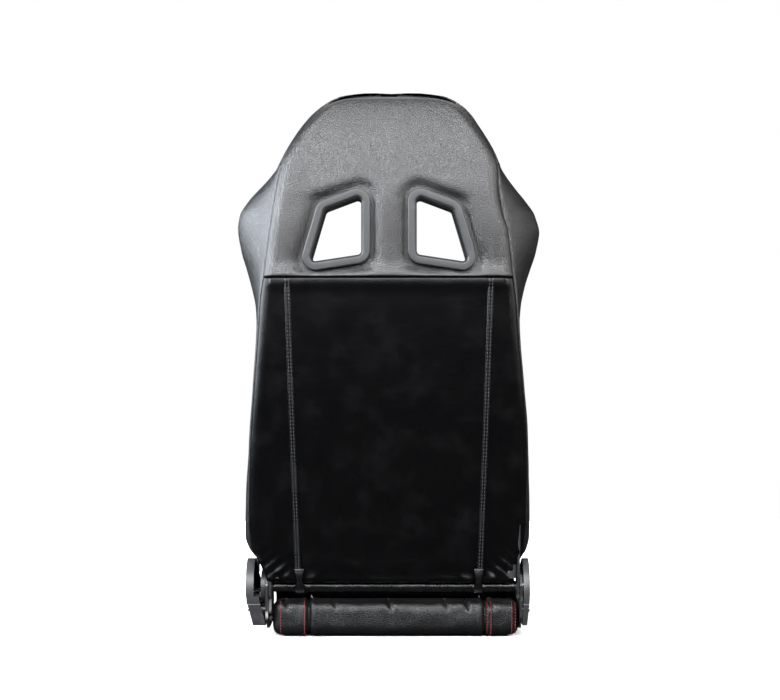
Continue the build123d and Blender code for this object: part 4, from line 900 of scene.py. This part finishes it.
def rolled_hem():
    """Vinyl wrapped tightly round the lower bar, with drawn creases beside the straps."""
    low, high = -0.2065, 0.2115
    xs = np.linspace(low, high, 260)
    rings = []
    for x in xs:
        near = min(abs(x - (CENTRE_X + s * 0.152)) for s in (-1, 1))
        ring = []
        for k in range(28):
            a = 2 * pi * k / 28
            r = 0.0096 + 0.0003 * noise.noise(Vector((x * 60, cos(a) * 2, sin(a) * 2)))
            r += 0.0007 * np.exp(-(near / 0.012) ** 2) * sin(a * 5 + x * 400)
            r -= lip(min(x - low, high - x), 0.003, 0.003)
            ring.append((x, PIVOT.y + r * cos(a), PIVOT.z + r * sin(a)))
        rings.append(ring)
    obj = loft("rolled_hem", rings, VINYL_SHINY)
    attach(obj, "backrest")
    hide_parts("hem_wrap")


rolled_hem()

# ---------------------------------------------------------------- cushion
seat_side = smooth([(-0.2505, 0.000), (-0.246, 0.010), (-0.228, 0.021), (-0.190, 0.030), (-0.110, 0.034),
                    (-0.050, 0.030),
                    (-0.010, 0.020), (0.050, 0.006), (0.100, 0.001), (0.155, -0.001)])
seat_tip = smooth([(-0.250, 0.110), (-0.246, 0.145), (-0.236, 0.170), (-0.215, 0.192), (-0.180, 0.206),
                   (-0.110, 0.2115),
                   (-0.040, 0.209), (0.020, 0.199), (0.060, 0.185), (0.100, 0.165), (0.140, 0.143),
                   (0.155, 0.136)])
seat_top = smooth([(-0.250, 0.108), (-0.246, 0.128), (-0.236, 0.148), (-0.215, 0.160), (-0.185, 0.1645),
                   (-0.110, 0.156),
                   (0.050, 0.139), (0.155, 0.131)])
SEAT_CORE = 0.149
SEAT_BACK, SEAT_FRONT = 0.1545, -0.2495


def seat_section(y, side):
    half = BASE_HALF + float(seat_side(y))
    tip, top = float(seat_tip(y)), float(seat_top(y))
    tip = max(tip, top + 0.006)
    waist = 0.105 + 0.03 * max(0.0, (half - BASE_HALF)) / 0.034
    run = catmull([
        (BASE_HALF - 0.030, 0.0045),
        (BASE_HALF - 0.010, 0.0050),
        (BASE_HALF - 0.001, 0.016),
        (BASE_HALF + 0.35 * (half - BASE_HALF), 0.060),
        (half, waist),
        (half - 0.002, (waist + tip) / 2 + 0.010),
        (half - 0.012, tip - 0.010),
        (half - 0.032, tip),
        (SEAT_CORE + 0.026, tip - 0.35 * (tip - top) - 0.004),
        (SEAT_CORE + 0.008, top + 0.25 * (tip - top)),
        (SEAT_CORE + 0.001, top - 0.003),
        (SEAT_CORE - 0.004, top - 0.014),
    ], 70)
    inside = np.array([(SEAT_CORE + 0.001, top - 0.035), (SEAT_CORE + 0.001, 0.052), (BASE_HALF - 0.015,
                                                                                      0.050),
                       (BASE_HALF - 0.015, 0.012)])
    ring = np.vstack([run, inside])
    return np.stack([side * ring[:, 0], np.full(len(ring), y), ring[:, 1]], axis=1)


def seat_bolster(side, word):
    ys = np.concatenate([np.linspace(SEAT_FRONT, -0.225, 16), np.linspace(-0.2225, 0.150, 80),
                         [0.1525, SEAT_BACK]])
    rings = [seat_section(y, side) for y in ys]
    for ring in rings:
        x, y, z = ring[:70, 0], ring[:70, 1], ring[:70, 2]
        up = np.clip((z - 0.03) / 0.05, 0, 1)
        push = up * (0.0016 * ripple(x, y, z, (18, 12, 20), 21.0 + side) + 0.0009 * ripple(x, y, z,
                                                                                           (50, 30, 50),
                                                                                           side))
        ring[:70, 0] += side * push
        ring[:70, 2] += push * 0.6

    def end(ring, share, dy):
        c = ring.mean(axis=0)
        out = c + (ring - c) * share
        out[:, 1] = ring[:, 1] + dy
        return out

    front = [end(rings[0], 0.88, -0.0005), end(rings[0], 0.96, -0.0003)]
    back = [end(rings[-1], 0.97, 0.0003), end(rings[-1], 0.90, 0.0005)]
    obj = loft(f"seat_bolster_{word}", front + rings + back, VINYL)
    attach(obj, "base")
    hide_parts(f"cushion_bolster_cover_{word}", f"cushion_bolster_foam_{word}")


seat_bolster(1, "left")
seat_bolster(-1, "right")


def seat_centre():
    """The sitting panel with its sewn channels, rolling over the nose and down the front and back."""
    path = [(0.1535, 0.056), (0.1545, 0.075), (0.1545, 0.105), (0.1525, 0.124), (0.145, 0.131),
            (0.120, 0.1335),
            (0.050, 0.139), (-0.030, 0.147), (-0.110, 0.156), (-0.185, 0.1645), (-0.215, 0.160),
            (-0.236, 0.148),
            (-0.246, 0.128), (-0.2495, 0.108), (-0.2495, 0.060), (-0.2485, 0.020), (-0.2470, 0.006)]
    line = catmull(path, 330)
    columns = 90
    grid = np.empty((len(line), columns, 3))
    u = np.linspace(-1, 1, columns)
    half = SEAT_CORE - 0.001
    tangents = np.gradient(line, axis=0)
    tangents /= np.linalg.norm(tangents, axis=1)[:, None]
    for i, (y, z) in enumerate(line):
        ty, tz = tangents[i]
        ny, nz = tz, -ty
        seated = y < 0.135 and z > 0.12
        away = abs((y + 0.030) / 0.062 - round((y + 0.030) / 0.062)) * 0.062
        sink = float(lip(away, 0.012, 0.006)) if seated and -0.19 < y < 0.13 else 0.0
        nose = abs(y + 0.205) if z > 0.12 else 1.0
        sink += float(lip(nose, 0.009, 0.006))
        crown = 0.004 * (1 - u**2) if seated else 0.0008 * (1 - u**2)
        down = -sink - lip(half * (1 - np.abs(u)), 0.014, 0.011) + crown
        grid[i, :, 0] = u * half
        grid[i, :, 1] = y + ny * down
        grid[i, :, 2] = z + nz * down
    grid[:, :, 2] += 0.0008 * ripple(grid[:, :, 0], grid[:, :, 1], grid[:, :, 2], (20, 30, 20), 8.0)
    obj = sheet_grid("seat_centre_panel", grid, VINYL, thickness=0.010, facing=(0, -0.3, 1))
    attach(obj, "base")
    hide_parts("cushion_centre_cover", "cushion_nose_cover")


seat_centre()


def seat_core():
    """The block of foam in near-black cloth that the sitting panel is stretched over; the near black is
    painted shade where the core shows through the gaps into the cushion.
    """
    rings = []
    for y in np.linspace(-0.234, 0.1440, 40):
        top, low, half = float(seat_top(y)) - 0.0185, 0.0500, 0.1475
        ring = [(-half, low + 0.006), (-half + 0.006, low)] + [(x, low) for x in np.linspace(-0.13, 0.13,
                                                                                             7)]
        ring += [(half - 0.006, low), (half, low + 0.006), (half, (low + top) / 2), (half, top - 0.020),
                 (half - 0.014, top - 0.004)]
        ring += [(x, top) for x in np.linspace(0.12, -0.12, 9)] + [(-half + 0.014, top - 0.004),
                                                                   (-half, top - 0.020),
                                                                 (-half, (low + top) / 2)]
        rings.append([(x, y, z) for x, z in ring])
    obj = loft("seat_core_pad", rings, CORE_CLOTH_PAINTED_SHADE)
    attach(obj, "base")
    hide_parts("cushion_centre_foam")


seat_core()

# ---------------------------------------------------------------- cushion's rear roll
ROLL_BACK, ROLL_FRONT = PIVOT.y + 0.0150, PIVOT.y - 0.0470
ROLL_TOP, ROLL_BOTTOM = 0.0620, 0.0020
ROLL_SEAMS = [-0.1527, 0.1480]
TUCKS = [(0.001, 0.007), (-0.095, 0.006), (-0.131, 0.010), (0.095, 0.004), (0.178, 0.006), (-0.172, 0.007)]


def roll_point(x, a, lift=0.0):
    """A point on the roll's skin at x, at an angle round it from the back."""
    cy, cz = (ROLL_BACK + ROLL_FRONT) / 2, (ROLL_TOP + ROLL_BOTTOM) / 2
    ry, rz = (ROLL_BACK - ROLL_FRONT) / 2, (ROLL_TOP - ROLL_BOTTOM) / 2
    pull = float(lip(min(x + BASE_HALF, BASE_HALF - x), 0.014, 0.014)) - lift
    for s in ROLL_SEAMS:
        pull += 0.0055 * np.exp(-((abs(x - s) / 0.0035) ** 2)) - 0.0012 * np.exp(-(((abs(x - s) - 0.009)
                                                                                    / 0.005) ** 2))
    c, s_ = cos(a), sin(a)
    power = 2 / 3.4
    y = cy + (ry - pull) * np.sign(c) * abs(c) ** power
    z = cz + (rz - pull) * np.sign(s_) * abs(s_) ** power
    top = float(np.clip((z - 0.044) / 0.012, 0, 1))
    for tx, depth in TUCKS:
        away = abs(x - tx - (z - cz) * 0.35)
        fold = np.exp(-((away / 0.0045) ** 2)) * top
        puff = np.exp(-(((away - 0.012) / 0.007) ** 2)) * top
        if c > -0.2:
            y += depth * (0.12 * puff - 0.45 * fold)
            z -= depth * 0.35 * fold
    swell = 0.0011 * noise.noise(Vector((x * 22, y * 30, z * 40))) + 0.0006 * noise.noise(Vector((x * 70,
                                                                                                  y * 60,
                                                                                                  z * 60)))
    if c > -0.5:
        y += swell
    z += swell * 0.5 if s_ > 0 else 0.0
    return (x, y, z)


def rear_roll():
    rings = [[roll_point(x, 2 * pi * k / 56) for k in range(56)] for x in np.linspace(-BASE_HALF, BASE_HALF,
                                                                                      300)]
    obj = loft("rear_roll", rings, VINYL_ROLL_SHADED)
    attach(obj, "base")
    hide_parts("rear_roll_cover", "rear_roll_foam")
    return obj


rear_roll()


rows = [[roll_point(x, -1.15 + 2.3 * k / 59, 0.0002) for k in range(60)] for x in (0.1551, 0.1958, -0.1563,
                                                                                   -0.1629, -0.1985,
                                                                                   -0.2045)]
stitch_rows("roll_stitches", rows, RED_THREAD, "base", pitch=0.0050, length=0.0038, radius=0.00055)


def valley():
    xs = np.linspace(-0.207, 0.207, 60)
    ts = np.linspace(0, 1, 16)
    grid = np.empty((len(ts), len(xs), 3))
    for i, t in enumerate(ts):
        grid[i, :, 0] = xs
        grid[i, :, 1] = 0.1555 + t * (0.1897 - 0.1555)
        grid[i, :, 2] = 0.0535 - 0.0006 * sin(pi * t) + 0.0004 * ripple(xs, xs * 0, xs * 0 + t, (40, 1, 2),
                                                                        1.0)
    obj = sheet_grid("valley_panel", grid, VINYL, thickness=COVER, facing=(0, 0, 1))
    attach(obj, "base")
    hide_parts("valley_cover")


valley()

# ---------------------------------------------------------------- stitching on cushion and backrest
back_rows = []
for side in (-1, 1):
    back_rows.append([(CENTRE_X + side * (CORE_HALF + 0.006), PIVOT.y + float(front_line(z)) - 0.0125, z)
                      for z in np.linspace(0.135, 0.770, 160)])
seat_rows = []
for side in (-1, 1):
    seat_rows.append([(side * (SEAT_CORE + 0.0058), y, float(seat_top(y)) + 0.006)
                      for y in np.linspace(-0.20, 0.148, 120)])
stitch_rows("back_red_stitches", back_rows, RED_THREAD, "backrest", radius=0.0007)
stitch_rows("seat_red_stitches", seat_rows, RED_THREAD, "base", radius=0.0007)

# ---------------------------------------------------------------- hard parts


def refined(name, node, body, mat, bevel, segments=3):
    """A CAD piece's own shape with its facets merged and its edges rounded."""
    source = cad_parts[node]
    mesh = source.data.copy()
    mesh.transform(source.matrix_world)
    obj = bpy.data.objects.new(name, mesh)
    bpy.context.scene.collection.objects.link(obj)
    mesh.materials.clear()
    mesh.materials.append(mat)
    bm = bmesh.new()
    bm.from_mesh(mesh)
    bmesh.ops.remove_doubles(bm, verts=bm.verts, dist=2e-6)
    bmesh.ops.dissolve_limit(bm, angle_limit=radians(1.0), verts=bm.verts, edges=bm.edges)
    bm.to_mesh(mesh)
    bm.free()
    for p in mesh.polygons:
        p.material_index = 0
    mod = obj.modifiers.new("Rounding", "BEVEL")
    mod.width = bevel
    mod.segments = segments
    mod.limit_method = "ANGLE"
    mod.angle_limit = radians(35)
    mod.harden_normals = False
    apply_modifiers(obj)
    bm = bmesh.new()
    bm.from_mesh(obj.data)
    for e in bm.edges:
        if len(e.link_faces) == 2 and e.calc_face_angle(0) > radians(30):
            e.smooth = False
    for f in bm.faces:
        f.smooth = True
    bm.to_mesh(obj.data)
    bm.free()
    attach(obj, body)
    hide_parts(node)
    return obj


refined("recliner_cover_left", "recliner_shield_left", "base", COVER_PLASTIC, 0.0022)
refined("recliner_cover_right", "recliner_shield_right", "base", COVER_PLASTIC, 0.0018)
refined("lever_handle", "lever_arm", "lever", PAINT, 0.0008)
refined("lever_grip_cover", "lever_grip", "lever", RUBBER, 0.0008)

NODE_MATERIALS = {
    PAINT: ["back_frame_hoop", "back_frame_crossbar", "back_frame_lower_bar", "recliner_plain_arm",
            "base_rail_left",
            "base_rail_right", "base_cross_tubes", "spring_crossbar", "recliner_base_plate_left",
            "recliner_base_plate_right", "recliner_spacers"],
    ZINC: ["slider_weld_nuts", "pivot_stud_right", "shield_screws", "lever_return_spring"],
    PHOSPHATE: ["recliner_bolts", "recliner_nuts", "pivot_stud_left", "pawl_pin", "recliner_sector_arm",
                "recliner_pawl",
                "recline_spring"],
    STEEL: ["seat_springs", "seat_spring_clips", "back_springs", "back_spring_clips"],
    PLASTIC: ["shield_posts"],
}
for mat, names in NODE_MATERIALS.items():
    for node in names:
        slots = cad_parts[node].material_slots
        for s in slots:
            s.material = mat

# ---------------------------------------------------------------- stage, lights and camera


def plane(name, width, depth, centre, mat):
    w, d = width / 2, depth / 2
    obj = mesh_object(name, [(-w + centre[0], -d + centre[1], centre[2]), (w + centre[0], -d + centre[1],
                                                                           centre[2]),
                             (w + centre[0], d + centre[1], centre[2]), (-w + centre[0], d + centre[1],
                                                                         centre[2])],
                      [(0, 1, 2, 3)], mat, shade=False)
    return obj


floor_mat = bpy.data.materials.new("StudioFloor")
floor_mat.use_nodes = True
tree = floor_mat.node_tree
floor_shader = tree.nodes["Principled BSDF"]
floor_shader.inputs["Base Color"].default_value = (0.86, 0.86, 0.86, 1)
floor_shader.inputs["Roughness"].default_value = 0.9
floor_shader.inputs["Specular IOR Level"].default_value = 0.1
floor_shader.inputs["Emission Color"].default_value = (1, 1, 1, 1)
# Glow on the floor, none within the seat's footprint and rising over 0.3 m beyond it: painted light on the
# floor, leaving painted shade round the seat.
where = tree.nodes.new("ShaderNodeTexCoord")
split = tree.nodes.new("ShaderNodeSeparateXYZ")
link(tree, where.outputs["Object"], split.inputs[0])
across = math_node(tree, "SUBTRACT", math_node(tree, "ABSOLUTE", split.outputs["X"]), 0.20)
along = math_node(tree, "SUBTRACT", math_node(tree, "ABSOLUTE", split.outputs["Y"]), 0.22)
away = math_node(tree, "MAXIMUM", across, along)
floor_glow_painted_light = tree.nodes.new("ShaderNodeMapRange")
floor_glow_painted_light.inputs["From Min"].default_value = 0.0
floor_glow_painted_light.inputs["From Max"].default_value = 0.30
floor_glow_painted_light.inputs["To Max"].default_value = 0.55
link(tree, away, floor_glow_painted_light.inputs["Value"])
link(tree, floor_glow_painted_light.outputs["Result"], floor_shader.inputs["Emission Strength"])
# Glossy rays see the floor as near-black diffuse: a painted dark reflection of the floor in the seat's
# surfaces.
painted_dark_floor_reflection = tree.nodes.new("ShaderNodeBsdfDiffuse")
painted_dark_floor_reflection.inputs["Color"].default_value = (0.01, 0.01, 0.01, 1)
rays = tree.nodes.new("ShaderNodeLightPath")
mixer = tree.nodes.new("ShaderNodeMixShader")
link(tree, rays.outputs["Is Glossy Ray"], mixer.inputs[0])
link(tree, floor_shader.outputs[0], mixer.inputs[1])
link(tree, painted_dark_floor_reflection.outputs[0], mixer.inputs[2])
link(tree, mixer.outputs[0], tree.nodes["Material Output"].inputs["Surface"])
plane("floor", 7.0, 4.2, (0, 0.3, -0.0005), floor_mat)

world = bpy.data.worlds.new("Studio")
bpy.context.scene.world = world
world.use_nodes = True
tree = world.node_tree
tree.nodes.clear()
out = tree.nodes.new("ShaderNodeOutputWorld")
seen = tree.nodes.new("ShaderNodeBackground")
seen.inputs["Color"].default_value = (1, 1, 1, 1)
seen.inputs["Strength"].default_value = 1.0
ambient = tree.nodes.new("ShaderNodeBackground")
ambient.inputs["Color"].default_value = (0.94, 0.97, 1.0, 1)
ambient.inputs["Strength"].default_value = 0.06
rays = tree.nodes.new("ShaderNodeLightPath")
mixer = tree.nodes.new("ShaderNodeMixShader")
link(tree, rays.outputs["Is Camera Ray"], mixer.inputs[0])
link(tree, ambient.outputs[0], mixer.inputs[1])
link(tree, seen.outputs[0], mixer.inputs[2])
link(tree, mixer.outputs[0], out.inputs["Surface"])


def soft_light(name, place, target, width, height, watts, colour=(1, 1, 1)):
    data = bpy.data.lights.new(name, "AREA")
    data.shape = "RECTANGLE"
    data.size, data.size_y = width, height
    data.energy = watts
    data.color = colour
    obj = bpy.data.objects.new(name, data)
    obj.location = place
    obj.rotation_euler = (Vector(target) - Vector(place)).to_track_quat("-Z", "Y").to_euler()
    bpy.context.scene.collection.objects.link(obj)
    return obj


soft_light("KeyBehindCamera", (0.1, 4.9, 3.4), (0.0, 0.3, 0.78), 4.6, 3.4, 840, (0.97, 0.98, 1.0))
soft_light("LeverSide", (3.3, 0.0, 1.35), (0.2, 0.25, 0.7), 3.6, 2.0, 290, (0.86, 0.92, 1.0))
soft_light("LeverRear", (3.0, 2.7, 2.05), (0.1, 0.3, 0.75), 1.1, 1.6, 400, (0.93, 0.96, 1.0))
soft_light("FarRear", (-3.0, 2.6, 2.0), (-0.1, 0.3, 0.75), 1.1, 1.6, 165, (1.0, 0.99, 0.98))
soft_light("FarSide", (-3.3, 0.4, 1.5), (-0.2, 0.3, 0.7), 3.0, 1.8, 60, (1.0, 0.99, 0.97))
soft_light("Overhead", (0, -1.0, 3.6), (0, -0.3, 0), 3.5, 3.5, 90)

camera_data = bpy.data.cameras.new("Camera")
camera_data.sensor_width = 36.0
camera_data.lens = 1756.7 / 780 * 36.0
camera = bpy.data.objects.new("Camera", camera_data)
camera.location = (CENTRE_X - 0.0017, 3.247, 0.4907)
camera.rotation_euler = (pi / 2, 0, pi)
bpy.context.scene.collection.objects.link(camera)
bpy.context.scene.camera = camera
bpy.context.scene.view_settings.view_transform = "Standard"
